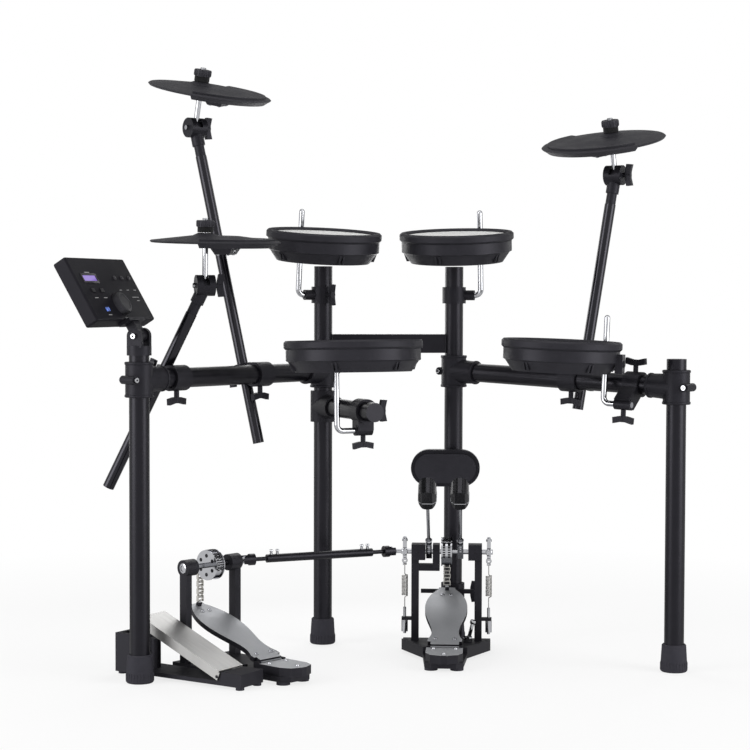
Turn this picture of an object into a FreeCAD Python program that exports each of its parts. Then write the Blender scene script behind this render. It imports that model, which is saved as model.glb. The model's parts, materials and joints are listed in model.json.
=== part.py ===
import FreeCAD, Part
import math
import os
import re

import Sketcher
from FreeCAD import Placement, Rotation, Vector

# Electronic drum kit on a four-post rack. Millimetres, Z up, drummer on the -Y side.

sizes = {
    # Where the middle of the inner posts lies from the origin, which is under the middle of the kit.
    "shift_x": 56.8,
    "shift_y": 223.5,
    # Clearances: parts clamped together, shafts that turn or slide, parts that pass each other.
    "snug_gap": 0.05,
    "run_gap": 0.08,
    "part_gap": 0.5,
    # Rack tubes.
    "tube_r": 19.05,
    "tube_wall": 2.0,
    "post_spacing": 273.6,
    "wing_len": 522.0,
    "wing_deg": 44.1,
    "inner_post_over": 214.0,
    "left_post_over": 60.0,
    "right_post_over": 51.0,
    "wing_z": 566.0,
    "right_outer_z": 549.0,
    "bar_over": 38.0,
    "bar_h": 39.0,
    "bar_d": 14.0,
    "cap_h": 3.0,
    "cap_plug": 14.0,
    # Rubber boots.
    "boot_r": 26.0,
    "boot_top_r": 23.4,
    "boot_h": 53.0,
    "boot_floor": 8.0,
    "boot_edge": 2.0,
    # Corner castings.
    "casting_r": 26.0,
    "casting_h": 66.0,
    "socket_stop": 23.0,
    "socket_len": 58.0,
    "socket_root_r": 26.0,
    "socket_r": 23.0,
    "lug_r": 8.0,
    "lug_len": 34.0,
    "key_r": 4.6,
    "key_h": 5.0,
    # Stub arm for the snare.
    "stub_under": 72.0,
    "stub_deg": 19.9,
    "stub_len": 238.0,
    "stub_casting_h": 64.0,
    # Rod clamps.
    "clamp_r": 24.5,
    "clamp_len": 34.0,
    "boss_r": 10.5,
    "tom_boss_end": 43.0,
    "tom_leg_stop": 25.0,
    "hang_drop": 38.0,
    "hang_boss_len": 36.0,
    "hang_wide": 34.0,
    "hang_deep": 28.0,
    "wing_stem_r": 5.0,
    "wing_stem_len": 12.0,
    "wing_half": 22.0,
    "wing_root": 8.0,
    "wing_low": 3.0,
    "wing_slant": 1.0,
    "wing_tall": 15.0,
    "wing_waist": 6.0,
    "wing_mid": 11.5,
    "wing_thick": 9.0,
    # Cymbal arms.
    "arm_r": 11.1,
    "arm_wall": 1.6,
    "arm_offset": 42.0,
    "arm_clamp_r": 17.0,
    "arm_clamp_len": 40.0,
    "arm_neck": 26.0,
    "arm_step_r": 10.2,
    "arm_step_len": 22.0,
    "arm_collar_r": 13.0,
    "arm_collar_len": 20.0,
    "hihat_from_tip": 97.0,
    "hihat_lean_deg": 13.17,
    "hihat_back_deg": -23.78,
    "hihat_up": 136.9,
    "hihat_down": 238.0,
    "crash_share": 0.368,
    "crash_lean_deg": 3.88,
    "crash_back_deg": 11.95,
    "crash_up": 446.6,
    "crash_down": 142.0,
    "ride_share": 0.55,
    "ride_lean_deg": 5.83,
    "ride_back_deg": 7.02,
    "ride_up": 355.4,
    "ride_down": 62.0,
    "hihat_side_deg": 0.5,
    "hihat_front_deg": 3.0,
    "crash_side_deg": 7.5,
    "crash_front_deg": 12.0,
    "ride_side_deg": -8.6,
    "ride_front_deg": 11.5,
    "hihat_heading_deg": -18.4,
    "crash_heading_deg": -21.0,
    "ride_heading_deg": 201.0,
    # Tilters.
    "barrel_r": 20.0,
    "barrel_len": 36.0,
    "barrel_seat": 17.0,
    "knuckle_r": 14.0,
    "knuckle_len": 11.0,
    "stem_r": 5.25,
    "crash_seat": 84.0,
    "ride_seat": 78.0,
    "hihat_seat": 90.0,
    "stem_tip": 27.0,
    "seat_r": 11.0,
    "seat_h": 9.0,
    "swing_gap": 0.9,
    "felt_r": 15.2,
    "felt_h": 10.5,
    "nut_r": 16.8,
    "nut_h": 12.5,
    # Cymbal pads.
    "cymbal_r": 124.0,
    "cymbal_edge": 2.5,
    "cymbal_drop": 9.0,
    "cymbal_thick": 4.5,
    "hole_offset": 20.0,
    "hole_r": 7.5,
    "bell_base_r": 27.0,
    "bell_top_r": 14.0,
    "bell_h": 6.0,
    "half_top_inset": 0.5,
    "half_bottom_inset": 12.0,
    "half_h": 10.0,
    "half_step": 2.0,
    "box_near": 18.0,
    "box_long": 44.0,
    "box_wide": 66.0,
    "box_h": 14.0,
    "box_draft": 8.0,
    # Drum pads.
    "tom_r": 114.3,
    "snare_r": 132.0,
    "tom_reach": 134.0,
    "snare_reach": 149.0,
    "pad_h": 60.0,
    "skirt_inset": 22.0,
    "skirt_h": 20.0,
    "band_inset": 4.0,
    "band_low": 22.0,
    "wall_inset": 8.0,
    "hoop_low": 43.0,
    "hoop_line": 0.4,
    "wall_thick": 4.0,
    "head_z": 53.0,
    "head_thick": 1.6,
    "hoop_round": 3.5,
    "hoop_lip": 13.0,
    "holder_wide": 32.0,
    "holder_back": 13.0,
    "holder_low": 2.0,
    "holder_h": 31.0,
    "holder_bite": 5.0,
    "jack_wide": 30.0,
    "jack_long": 14.0,
    "jack_h": 36.0,
    "jack_deg": 118.0,
    # Pad rods.
    "rod_r": 5.6,
    "rod_bend": 12.0,
    "tom_rod_out": 56.5,
    "tom_leg_deg": 20.0,
    "tom_clamp_under": 56.0,
    "tom_rod_h": 170.5,
    "tom_pad_up": 81.0,
    "tom_tilt_deg": 6.0,
    "left_tom_deg": 285.5,
    "right_tom_deg": 239.7,
    "snare_at": 188.0,
    "snare_rod_out": 57.0,
    "snare_rod_h": 168.0,
    "snare_pad_up": 117.5,
    "snare_tilt_deg": -2.0,
    "snare_deg": 277.2,
    "floor_from_tip": 90.0,
    "floor_rod_out": 45.0,
    "floor_rod_front": 42.0,
    "floor_rod_h": 165.5,
    "floor_pad_up": 61.5,
    "floor_tilt_deg": -1.0,
    "floor_deg": 218.0,
    # Kick pad, in the main pedal's own frame.
    "kick_w": 142.0,
    "kick_h": 76.0,
    "kick_z": 367.5,
    "kick_x": -4.5,
    "kick_front": 22.0,
    "kick_rubber": 8.0,
    "kick_inset": 8.0,
    "kick_thick": 22.0,
    "kick_clamp_h": 52.0,
    "kick_arm_wide": 34.0,
    "kick_arm_h": 36.0,
    "hoop_bar_z": 104.0,
    "hoop_bar_y": 62.0,
    "hoop_bar_long": 110.0,
    "hoop_bar_thick": 8.0,
    "hoop_arm_wide": 26.0,
    "hoop_clamp_h": 36.0,
    "tongue_wide": 40.0,
    "tongue_thick": 4.0,
    "tongue_bite": 12.0,
    # Pedals, each in a frame under the middle of its axle with the heel toward -Y.
    "main_x": 110.8,
    "main_y": -84.0,
    "main_deg": -10.0,
    "side_right": 135.86,
    "side_rear": 138.37,
    "side_deg": 41.0,
    "axle_z": 199.0,
    "axle_r": 5.0,
    "base_low": 6.0,
    "base_thick": 10.0,
    "main_back_half": 90.0,
    "side_back_half": 74.0,
    "base_back": 28.0,
    "base_wide_end": -52.0,
    "base_neck": -140.0,
    "base_neck_half": 44.0,
    "base_heel": -246.0,
    "base_heel_half": 38.0,
    "base_heel_corner": 14.0,
    "rim_wide": 9.0,
    "rim_h": 12.0,
    "pedal_foot_r": 13.0,
    "upright_x": 64.7,
    "upright_wide": 15.0,
    "upright_deep": 18.0,
    "bearing_wide": 28.0,
    "bearing_x": 58.0,
    "bearing_h": 32.0,
    "mid_x": -21.5,
    "mid_wide": 14.0,
    "mid_bar_z": 160.0,
    "mid_bar_h": 14.0,
    "mid_bar_deep": 16.0,
    "hub_x": 28.0,
    "left_hub_x": -36.4,
    "hub_wide": 12.0,
    "hub_deep": 18.0,
    "hub_tall": 44.0,
    "hub_low": 12.0,
    "cam_r": 27.0,
    "cam_wide": 18.0,
    "cam_flange_r": 29.5,
    "cam_flange": 2.0,
    "lever_x": 86.0,
    "lever_wide": 8.0,
    "lever_r": 9.0,
    "lever_top": 22.0,
    "lever_drop": 26.0,
    "hook_pin_r": 2.0,
    "axle_end": 94.0,
    "joint_x": 112.0,
    "side_joint_x": 92.0,
    "joint_ball_r": 7.5,
    "joint_stem_r": 4.0,
    # Beaters.
    "beater_rest_deg": 45.0,
    "beater_len": 188.0,
    "beater_rod_r": 3.2,
    "beater_wide": 36.0,
    "beater_tall": 54.0,
    "beater_deep": 38.0,
    "beater_round": 21.5,
    "beater_bite": 8.0,
    # Footboards.
    "hinge_y": -164.0,
    "hinge_z": 30.0,
    "hinge_pin_r": 2.6,
    "hinge_barrel_r": 5.5,
    "hinge_barrel_len": 56.0,
    "hinge_lug_wide": 7.0,
    "hinge_lug_deep": 14.0,
    "board_len": 224.0,
    "board_thick": 9.0,
    "board_deg": 21.0,
    "board_hinge_half": 34.0,
    "board_neck_half": 27.0,
    "board_rise_half": 36.0,
    "board_wide_half": 43.0,
    "board_fall_half": 39.0,
    "board_nose_half": 28.0,
    "board_toe_half": 17.0,
    "board_start_share": 0.05,
    "board_hinge_share": 0.09,
    "board_neck_share": 0.2,
    "board_rise_share": 0.42,
    "board_wide_share": 0.62,
    "board_fall_share": 0.78,
    "board_nose_share": 0.9,
    "board_toe_share": 0.97,
    "board_end_share": 1.0,
    "heel_gap": 8.0,
    "heel_end": -256.0,
    "heel_half": 36.0,
    "heel_round": 30.0,
    "heel_shave": 9.0,
    "heel_top": 33.0,
    "toe_lug": 8.0,
    "board_tongue": 16.0,
    # Chains.
    "chain_out": 30.4,
    "chain_pitch": 7.2,
    "chain_plate": 1.3,
    "chain_plate_h": 5.6,
    "chain_inner": 9.0,
    "chain_roller_r": 2.2,
    "chain_pin_r": 1.2,
    "chain_gap": 0.15,
    # Pedal springs.
    "spring_r": 5.6,
    "spring_wire_r": 0.95,
    "spring_top": 150.0,
    "spring_low": 108.0,
    "spring_turns_count": 15,
    "hook_r": 3.4,
    "spring_low_end": 84.0,
    "tab_z": 58.0,
    "tab_h": 6.0,
    "tab_reach": 20.0,
    "tab_deep": 14.0,
    "adjuster_r": 3.0,
    "adjuster_low": 30.0,
    "adjuster_nut_r": 6.5,
    "adjuster_nut_low": 34.0,
    # Drive shaft.
    "shaft_r": 8.2,
    "shaft_rod_r": 4.2,
    "shaft_tube_gap": 46.0,
    "yoke_r": 11.5,
    "yoke_gap": 0.6,
    "yoke_back": 20.0,
    "yoke_reach": 4.0,
    "yoke_slot": 16.6,
    "screw_r": 3.0,
    "screw_h": 11.0,
    "screw_first": 10.0,
    "screw_pitch": 13.0,
    # Hi-hat pedal, in a frame on its centre line beside the left boot.
    "hat_right": 47.7,
    "hat_rear": 56.8,
    "hat_deg": 50.0,
    "hat_back": 92.0,
    "hat_heel": -206.0,
    "hat_half": 38.0,
    "hat_floor": 5.0,
    "hat_floor_thick": 8.0,
    "hat_block_long": 40.0,
    "hat_block_h": 74.0,
    "hat_cheek": 9.0,
    "hat_heel_long": 46.0,
    "hat_heel_h": 30.0,
    "hat_heel_half": 34.0,
    "hat_pin_y": -152.0,
    "hat_pin_z": 21.0,
    "hat_pin_r": 3.0,
    "hat_foot_r": 8.0,
    "treadle_half": 36.5,
    "treadle_long": 206.0,
    "treadle_thick": 3.0,
    "treadle_flange": 15.0,
    "treadle_deg": 24.0,
    "treadle_lift": 9.0,
    "stop_r": 10.0,
    "stop_y": 24.0,
    "stop_h": 70.0,
    # Sound module and its bracket on the left post.
    "module_w": 222.0,
    "module_d": 134.0,
    "module_thick": 29.0,
    "module_round": 4.0,
    "module_wall": 2.5,
    "module_face_deg": -27.3,
    "module_back_deg": 31.0,
    "bracket_h": 18.0,
    "bracket_r": 23.0,
    "bracket_cheek": 8.0,
    "bracket_deep": 30.0,
    "pivot_up": 18.0,
    "pivot_r": 4.0,
    "neck_wide": 24.0,
    "neck_r": 9.0,
    "neck_rise": 24.0,
    "mount_w": 60.0,
    "mount_d": 26.0,
    "mount_thick": 6.0,
    "module_along": 18.0,
    "module_forward": 11.0,
    "screen_w": 47.0,
    "screen_d": 12.0,
    "screen_thick": 1.5,
    "screen_across": -60.0,
    "screen_up": 22.0,
    "dial_r": 23.0,
    "dial_h": 10.0,
    "dial_across": 3.0,
    "dial_up": -34.0,
    "dial_shaft_r": 3.0,
    "dial_shaft_len": 12.0,
    "key_wide": 11.0,
    "key_tall": 8.0,
    "key_deep": 6.0,
    "key_proud": 1.6,
    "key_fit": 0.35,
    "key_across": -72.0,
    "key_pitch": 33.0,
    "key_up": -4.0,
    "start_across": -55.0,
    "start_up": -44.0,
    "lamp_r": 4.5,
    "lamp_h": 0.8,
    "lamp_across": 62.0,
    "lamp_pitch": 27.5,
    "lamp_up": 23.5,
}

# Heights and places that follow from the sizes above.
sizes["inner_post_top"] = sizes["wing_z"] + sizes["inner_post_over"]
sizes["left_post_top"] = sizes["wing_z"] + sizes["left_post_over"]
sizes["right_post_top"] = sizes["right_outer_z"] + sizes["right_post_over"]
sizes["bar_z"] = sizes["wing_z"] + sizes["bar_over"]
sizes["band_top"] = sizes["hoop_low"] - sizes["hoop_line"]
sizes["stub_z"] = sizes["wing_z"] - sizes["stub_under"]
sizes["tom_clamp_z"] = sizes["inner_post_top"] - sizes["tom_clamp_under"]
sizes["hihat_at"] = sizes["wing_len"] - sizes["hihat_from_tip"]
sizes["crash_at"] = sizes["wing_len"] * sizes["crash_share"]
sizes["ride_at"] = sizes["wing_len"] * sizes["ride_share"]
sizes["floor_at"] = sizes["wing_len"] - sizes["floor_from_tip"]

# Document, sheet of sizes and the ways of making pieces.
doc = FreeCAD.newDocument("DrumKit")
sheet = doc.addObject("Spreadsheet::Sheet", "Sizes")
for row, (name, value) in enumerate(sizes.items(), start=1):
    sheet.set(f"A{row}", name)
    sheet.set(f"B{row}", str(value))
    sheet.setAlias(f"B{row}", name)
doc.recompute()

origin = Vector(0, 0, 0)
axis_x = Vector(1, 0, 0)
axis_y = Vector(0, 1, 0)
axis_z = Vector(0, 0, 1)
half_share = 0.5
quarter_deg = 90
quarter_count = 4
nodes = {}
joints = {}


def size(name):
    return sizes[name]


def cell(text):
    return re.sub(r"[a-z]\w*", lambda word: "Sizes." + word.group(0), text)


def pose(start, up, along=None):
    up = Vector(up).normalize()
    if along is None:
        return Placement(start, Rotation(axis_z, up))
    across = along - up * along.dot(up)
    across.normalize()
    return Placement(start, Rotation(across, up.cross(across), up, "ZXY"))


def moved(x, y, z):
    return Placement(Vector(x, y, z), Rotation())


def turned(axis, degrees, centre=origin):
    return Placement(origin, Rotation(axis, degrees), centre)


def piece(kind, place, **bound):
    made = doc.addObject(kind, "Piece")
    for prop, text in bound.items():
        made.setExpression(prop, cell(text))
    made.Placement = place
    return made


def cylinder(radius, length, place):
    return piece("Part::Cylinder", place, Radius=radius, Height=length)


def bar_between(radius, start, end):
    # A round bar from one point to another.
    made = piece("Part::Cylinder", pose(start, end - start), Radius=radius)
    made.Height = (end - start).Length
    return made


def cone(radius, top_radius, length, place):
    return piece("Part::Cone", place, Radius1=radius, Radius2=top_radius, Height=length)


def ball(radius, place):
    return piece("Part::Sphere", place, Radius=radius)


def block(long, wide, high, place):
    # A box that stands on the middle of its bottom face.
    centred = moved(-half_share * size(long), -half_share * size(wide), 0)
    return piece("Part::Box", place.multiply(centred), Length=long, Width=wide, Height=high)


def fuse(*pieces):
    made = doc.addObject("Part::MultiFuse", "Fused")
    made.Shapes = list(pieces)
    made.Refine = True
    return made


def cut(base, *tools):
    made = doc.addObject("Part::Cut", "Cut")
    made.Base = base
    made.Tool = tools[0] if len(tools) == 1 else fuse(*tools)
    return made


def common(first, second):
    made = doc.addObject("Part::MultiCommon", "Common")
    made.Shapes = [first, second]
    return made


def again(source, place):
    made = doc.addObject("App::Link", "Again")
    made.LinkedObject = source
    made.Placement = place
    return made


def node(label, pieces, place=None):
    made = doc.addObject("Part::Compound", "Node")
    made.Links = list(pieces)
    made.Label = label
    if place is not None:
        made.Placement = place
    nodes[label] = made
    return made


def tube(radius, wall, length, place):
    bore = cylinder(f"{radius} - {wall}", length, place)
    return cut(cylinder(radius, length, place), bore)


def number(text):
    # The value of a coordinate written as a sum of named sizes.
    total = 0
    for sign, word in re.findall(r"([+-]?)\s*(\w+)", text):
        part = size(word) if word in sizes else float(word)
        total += -part if sign == "-" else part
    return total


def outline(body, plane, points):
    sketch = body.newObject("Sketcher::SketchObject", "Outline")
    support = [part for part in body.Origin.OriginFeatures if part.Role == plane]
    sketch.AttachmentSupport = [(support[0], "")]
    sketch.MapMode = "FlatFace"
    corners = [Vector(number(x), number(y), 0) for x, y in points]
    count = len(points)
    for i in range(count):
        sketch.addGeometry(Part.LineSegment(corners[i], corners[(i + 1) % count]), False)
    for i in range(count):
        sketch.addConstraint(Sketcher.Constraint("Coincident", i, 2, (i + 1) % count, 1))
    for i, (x, y) in enumerate(points):
        for kind, line, text, value in (
            ("DistanceX", -2, x, corners[i].x),
            ("DistanceY", -1, y, corners[i].y),
        ):
            if text == "0":
                sketch.addConstraint(Sketcher.Constraint("PointOnObject", i, 1, line))
            else:
                held = sketch.addConstraint(Sketcher.Constraint(kind, -1, 1, i, 1, value))
                sketch.setExpression(f"Constraints[{held}]", cell(text))
    return sketch


def revolved(points, place):
    body = doc.addObject("PartDesign::Body", "Turned")
    sketch = outline(body, "XZ_Plane", points)
    feature = body.newObject("PartDesign::Revolution", "Revolution")
    feature.Profile = sketch
    feature.ReferenceAxis = (sketch, ["V_Axis"])
    body.Placement = place
    return body


def plate(points, thick, place):
    body = doc.addObject("PartDesign::Body", "Plate")
    sketch = outline(body, "XY_Plane", points)
    feature = body.newObject("PartDesign::Pad", "Pad")
    feature.Profile = sketch
    feature.setExpression("Length", cell(thick))
    body.Placement = place
    return body


def stadium(wide, tall, thick, place):
    # A slab with round ends, standing on its back face, long along X.
    reach = half_share * (number(wide) - number(tall))
    middle = piece(
        "Part::Box",
        place.multiply(moved(-reach, -half_share * number(tall), 0)),
        Length=f"{wide} - ({tall})",
        Width=tall,
        Height=thick,
    )
    ends = [
        cylinder(f"({tall}) / 2", thick, place.multiply(moved(side * reach, 0, 0)))
        for side in (-1, 1)
    ]
    return fuse(middle, *ends)


def joint(name, point, axis):
    joints[name] = (Vector(point), Vector(axis).normalize())


def at(x, y, z):
    return Vector(x + size("shift_x"), y + size("shift_y"), z)


# Rack layout: inner posts on X, wings toed toward the drummer.
wing_turn = math.radians(size("wing_deg"))
inner_half = half_share * size("post_spacing")
left_out = Vector(-math.cos(wing_turn), -math.sin(wing_turn), 0)
right_out = Vector(math.cos(wing_turn), -math.sin(wing_turn), 0)
left_back = Vector(-math.sin(wing_turn), math.cos(wing_turn), 0)
right_back = Vector(math.sin(wing_turn), math.cos(wing_turn), 0)
inner_left = at(-inner_half, 0, 0)
inner_right = at(inner_half, 0, 0)
outer_left = inner_left + left_out * size("wing_len")
outer_right = inner_right + right_out * size("wing_len")
right_drop = size("wing_z") - size("right_outer_z")
left_line = Vector(left_out)
right_line = (right_out * size("wing_len") - axis_z * right_drop).normalize()
left_root = inner_left + axis_z * size("wing_z")
right_root = inner_right + axis_z * size("wing_z")
left_tip = outer_left + axis_z * size("wing_z")
right_tip = outer_right + axis_z * size("right_outer_z")


def capped_post(base, top):
    # A post that stands in its boot, with a plastic cap plugged into its top.
    start = base + axis_z * size("boot_floor")
    post = tube("tube_r", "tube_wall", f"{top} - boot_floor", pose(start, axis_z))
    lid = cylinder("tube_r", "cap_h", pose(base + axis_z * size(top), axis_z))
    low = base + axis_z * (size(top) - size("cap_plug"))
    plug = cylinder("tube_r - tube_wall - snug_gap", "cap_plug", pose(low, axis_z))
    return post, fuse(lid, plug)


# Centre frame: the cross bar is welded between the inner posts.
frame_start = axis_z * size("boot_floor")
frame_tubes = [
    cylinder("tube_r", "inner_post_top - boot_floor", pose(base + frame_start, axis_z))
    for base in (inner_left, inner_right)
]
frame_bores = [
    cylinder("tube_r - tube_wall", "inner_post_top - boot_floor", pose(base + frame_start, axis_z))
    for base in (inner_left, inner_right)
]
bar_middle = (inner_left + inner_right) * half_share + axis_z * size("bar_z")
cross_bar = block("post_spacing", "bar_d", "bar_h", pose(bar_middle, axis_z))
welded = cut(fuse(cross_bar, *frame_tubes), *frame_bores)
frame_caps = []
for base in (inner_left, inner_right):
    lid = cylinder("tube_r", "cap_h", pose(base + axis_z * size("inner_post_top"), axis_z))
    low = base + axis_z * (size("inner_post_top") - size("cap_plug"))
    plug = cylinder("tube_r - tube_wall - snug_gap", "cap_plug", pose(low, axis_z))
    frame_caps.append(fuse(lid, plug))
node("center_frame", [welded] + frame_caps)

# Outer posts: the right one has a cap, the left one carries the module's bracket.
left_start = outer_left + axis_z * size("boot_floor")
left_post = tube("tube_r", "tube_wall", "left_post_top - boot_floor", pose(left_start, axis_z))
right_post, right_cap = capped_post(outer_right, "right_post_top")
node("outer_posts", [left_post, right_post, right_cap])

# Rubber boots under the four posts.
boot = revolved(
    [
        ("0", "0"),
        ("boot_r - boot_edge", "0"),
        ("boot_r", "boot_edge"),
        ("boot_r", "boot_floor"),
        ("boot_top_r", "boot_h - boot_edge"),
        ("boot_top_r - boot_edge", "boot_h"),
        ("tube_r + snug_gap", "boot_h"),
        ("tube_r + snug_gap", "boot_floor"),
        ("0", "boot_floor"),
    ],
    Placement(inner_left, Rotation()),
)
boot_links = [
    again(boot, Placement(base, Rotation())) for base in (inner_right, outer_left, outer_right)
]
node("rubber_feet", [boot] + boot_links)

# Wing tubes between the corner castings.
left_wing = tube(
    "tube_r",
    "tube_wall",
    "wing_len - 2 * socket_stop",
    pose(left_root + left_line * size("socket_stop"), left_line),
)
right_start = right_root + right_line * size("socket_stop")
right_end = right_tip - right_line * size("socket_stop")
right_bore = bar_between("tube_r - tube_wall", right_start, right_end)
right_wing = cut(bar_between("tube_r", right_start, right_end), right_bore)
node("wing_tubes", [left_wing, right_wing])

bolts = []


def key_bolt(place):
    # Square-drive bolt with a round chrome head.
    head = cylinder("key_r", "key_h", place)
    bolts.append(head)


def wings(low):
    # The two ears of a hand bolt or nut, standing on the end of its stem.
    return plate(
        [
            ("wing_root", "0"),
            ("wing_half", "wing_low"),
            ("wing_half - wing_slant", "wing_tall"),
            ("wing_waist", "wing_mid"),
            ("-wing_waist", "wing_mid"),
            ("-wing_half + wing_slant", "wing_tall"),
            ("-wing_half", "wing_low"),
            ("-wing_root", "0"),
        ],
        "wing_thick",
        Placement(Vector(0, half_share * size("wing_thick"), low), Rotation(axis_x, quarter_deg)),
    )


hand_bolt = fuse(
    cylinder("wing_stem_r", "wing_stem_len + wing_mid", moved(0, 0, 0)), wings(size("wing_stem_len"))
)
hand_nut = fuse(cylinder("wing_stem_r", "key_h + wing_mid", moved(0, 0, 0)), wings(size("key_h")))


def wing_bolt(place):
    bolts.append(again(hand_bolt, place))


def corner_casting(centre, line):
    # Sleeve on the post, flared socket for the wing tube and a lug for the key bolt.
    low = centre - axis_z * half_share * size("casting_h")
    sleeve = cylinder("casting_r", "casting_h", pose(low, axis_z))
    socket = cone("socket_root_r", "socket_r", "socket_len", pose(centre, line))
    flat = Vector(line.x, line.y, 0).normalize()
    across = axis_z.cross(flat)
    lug_at = centre - flat * size("casting_r") - across * half_share * size("lug_len")
    lug = cylinder("lug_r", "lug_len", pose(lug_at, across))
    body = fuse(sleeve, socket, lug)
    post_bore = cylinder("tube_r + snug_gap", "casting_h", pose(low, axis_z))
    wing_start = centre + line * size("socket_stop")
    wing_bore = cylinder("tube_r + snug_gap", "socket_len", pose(wing_start, line))
    for end in (-1, 1):
        lug_end = centre - flat * size("casting_r") + across * end * half_share * size("lug_len")
        key_bolt(pose(lug_end, across * end))
    return cut(body, post_bore, wing_bore)


# Corner castings on the four posts.
node(
    "corner_castings",
    [
        corner_casting(left_root, left_line),
        corner_casting(left_tip, -left_line),
        corner_casting(right_root, right_line),
        corner_casting(right_tip, -right_line),
    ],
)

# Stub arm for the snare: casting on the inner left post, tube and end cap.
stub_turn = math.radians(size("stub_deg"))
stub_line = Vector(math.sin(stub_turn), -math.cos(stub_turn), 0)
stub_root = inner_left + axis_z * size("stub_z")
stub_low = stub_root - axis_z * half_share * size("stub_casting_h")
stub_sleeve = cylinder("casting_r", "stub_casting_h", pose(stub_low, axis_z))
stub_socket = cone("socket_root_r", "socket_r", "socket_len", pose(stub_root, stub_line))
stub_start = stub_root + stub_line * size("socket_stop")
stub_casting = cut(
    fuse(stub_sleeve, stub_socket),
    cylinder("tube_r + snug_gap", "stub_casting_h", pose(stub_low, axis_z)),
    cylinder("tube_r + snug_gap", "socket_len", pose(stub_start, stub_line)),
)
stub_tube = tube("tube_r", "tube_wall", "stub_len - socket_stop", pose(stub_start, stub_line))
stub_end = stub_root + stub_line * size("stub_len")
stub_plug_at = stub_end - stub_line * size("cap_plug")
stub_cap = fuse(
    cylinder("tube_r", "cap_h", pose(stub_end, stub_line)),
    cylinder("tube_r - tube_wall - snug_gap", "cap_plug", pose(stub_plug_at, stub_line)),
)
node("snare_stub_arm", [stub_casting, stub_tube, stub_cap])


def tom_clamp(base, line):
    # Sleeve on an inner post with a boss that takes the end of a pad rod.
    centre = base + axis_z * size("tom_clamp_z")
    low = centre - axis_z * half_share * size("clamp_len")
    sleeve = cylinder("clamp_r", "clamp_len", pose(low, axis_z))
    boss = cylinder("boss_r", "tom_boss_end", pose(centre, line))
    post_bore = cylinder("tube_r + snug_gap", "clamp_len", pose(low, axis_z))
    leg_at = centre + line * (size("tom_leg_stop") - size("part_gap"))
    leg_bore = cylinder("rod_r + run_gap", "tom_boss_end", pose(leg_at, line))
    across = axis_z.cross(line)
    side = centre + across * size("clamp_r")
    wing_bolt(pose(side, across, axis_z))
    return cut(fuse(sleeve, boss), post_bore, leg_bore)


def hanging_clamp(centre, line, leg_line):
    # Sleeve on a level tube with a boss hanging under it for a pad rod.
    start = centre - line * half_share * size("clamp_len")
    sleeve = cylinder("clamp_r", "clamp_len", pose(start, line))
    down = line.cross(leg_line)
    down = down if down.z < 0 else -down
    leg_centre = centre + down * size("hang_drop")
    neck = block("hang_wide", "hang_deep", "hang_drop", pose(centre, down, leg_line))
    boss_at = leg_centre - leg_line * half_share * size("hang_boss_len")
    boss = cylinder("boss_r", "hang_boss_len", pose(boss_at, leg_line))
    tube_bore = cylinder("tube_r + snug_gap", "clamp_len", pose(start, line))
    leg_bore = cylinder("rod_r + run_gap", "hang_boss_len", pose(boss_at, leg_line))
    wing_bolt(pose(leg_centre + down * size("boss_r"), down, leg_line))
    wing_bolt(pose(centre + leg_line * size("clamp_r"), leg_line, axis_z))
    return cut(fuse(sleeve, neck, boss), tube_bore, leg_bore)


# Rod clamps: two on the inner posts, one under the stub arm, one under the right wing tube.
leg_turn = math.radians(size("tom_leg_deg"))
left_leg = Vector(math.cos(leg_turn), math.sin(leg_turn), 0)
right_leg = Vector(-math.cos(leg_turn), math.sin(leg_turn), 0)
snare_leg = axis_z.cross(stub_line)
snare_hold = stub_root + stub_line * size("snare_at")
floor_leg = Vector(right_line)
floor_hold = right_root + right_line * size("floor_at")
floor_down = (-axis_z - right_line * (-axis_z).dot(right_line)).normalize()


def floor_clamp():
    # Sleeve on the right wing tube with a boss held under it and in front, along the tube.
    start = floor_hold - right_line * half_share * size("clamp_len")
    sleeve = cylinder("clamp_r", "clamp_len", pose(start, right_line))
    front = -right_back * size("floor_rod_front") + floor_down * size("hang_drop")
    leg_centre = floor_hold + front
    neck = piece(
        "Part::Box",
        pose(floor_hold, front, right_line).multiply(
            moved(-half_share * size("hang_wide"), -half_share * size("hang_deep"), 0)
        ),
        Length="hang_wide",
        Width="hang_deep",
    )
    neck.Height = front.Length
    boss_at = leg_centre - right_line * half_share * size("hang_boss_len")
    boss = cylinder("boss_r", "hang_boss_len", pose(boss_at, right_line))
    tube_bore = cylinder("tube_r + snug_gap", "clamp_len", pose(start, right_line))
    leg_bore = cylinder("rod_r + run_gap", "hang_boss_len", pose(boss_at, right_line))
    wing_bolt(pose(leg_centre + floor_down * size("boss_r"), floor_down, right_line))
    wing_bolt(pose(floor_hold - floor_down * size("clamp_r"), -floor_down, right_line))
    return cut(fuse(sleeve, neck, boss), tube_bore, leg_bore), leg_centre


floor_casting, floor_leg_centre = floor_clamp()
snare_down = -axis_z
snare_leg_centre = snare_hold + snare_down * size("hang_drop")
node(
    "rod_clamps",
    [
        tom_clamp(inner_left, -left_leg),
        tom_clamp(inner_right, -right_leg),
        hanging_clamp(snare_hold, stub_line, snare_leg),
        floor_casting,
    ],
)


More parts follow.
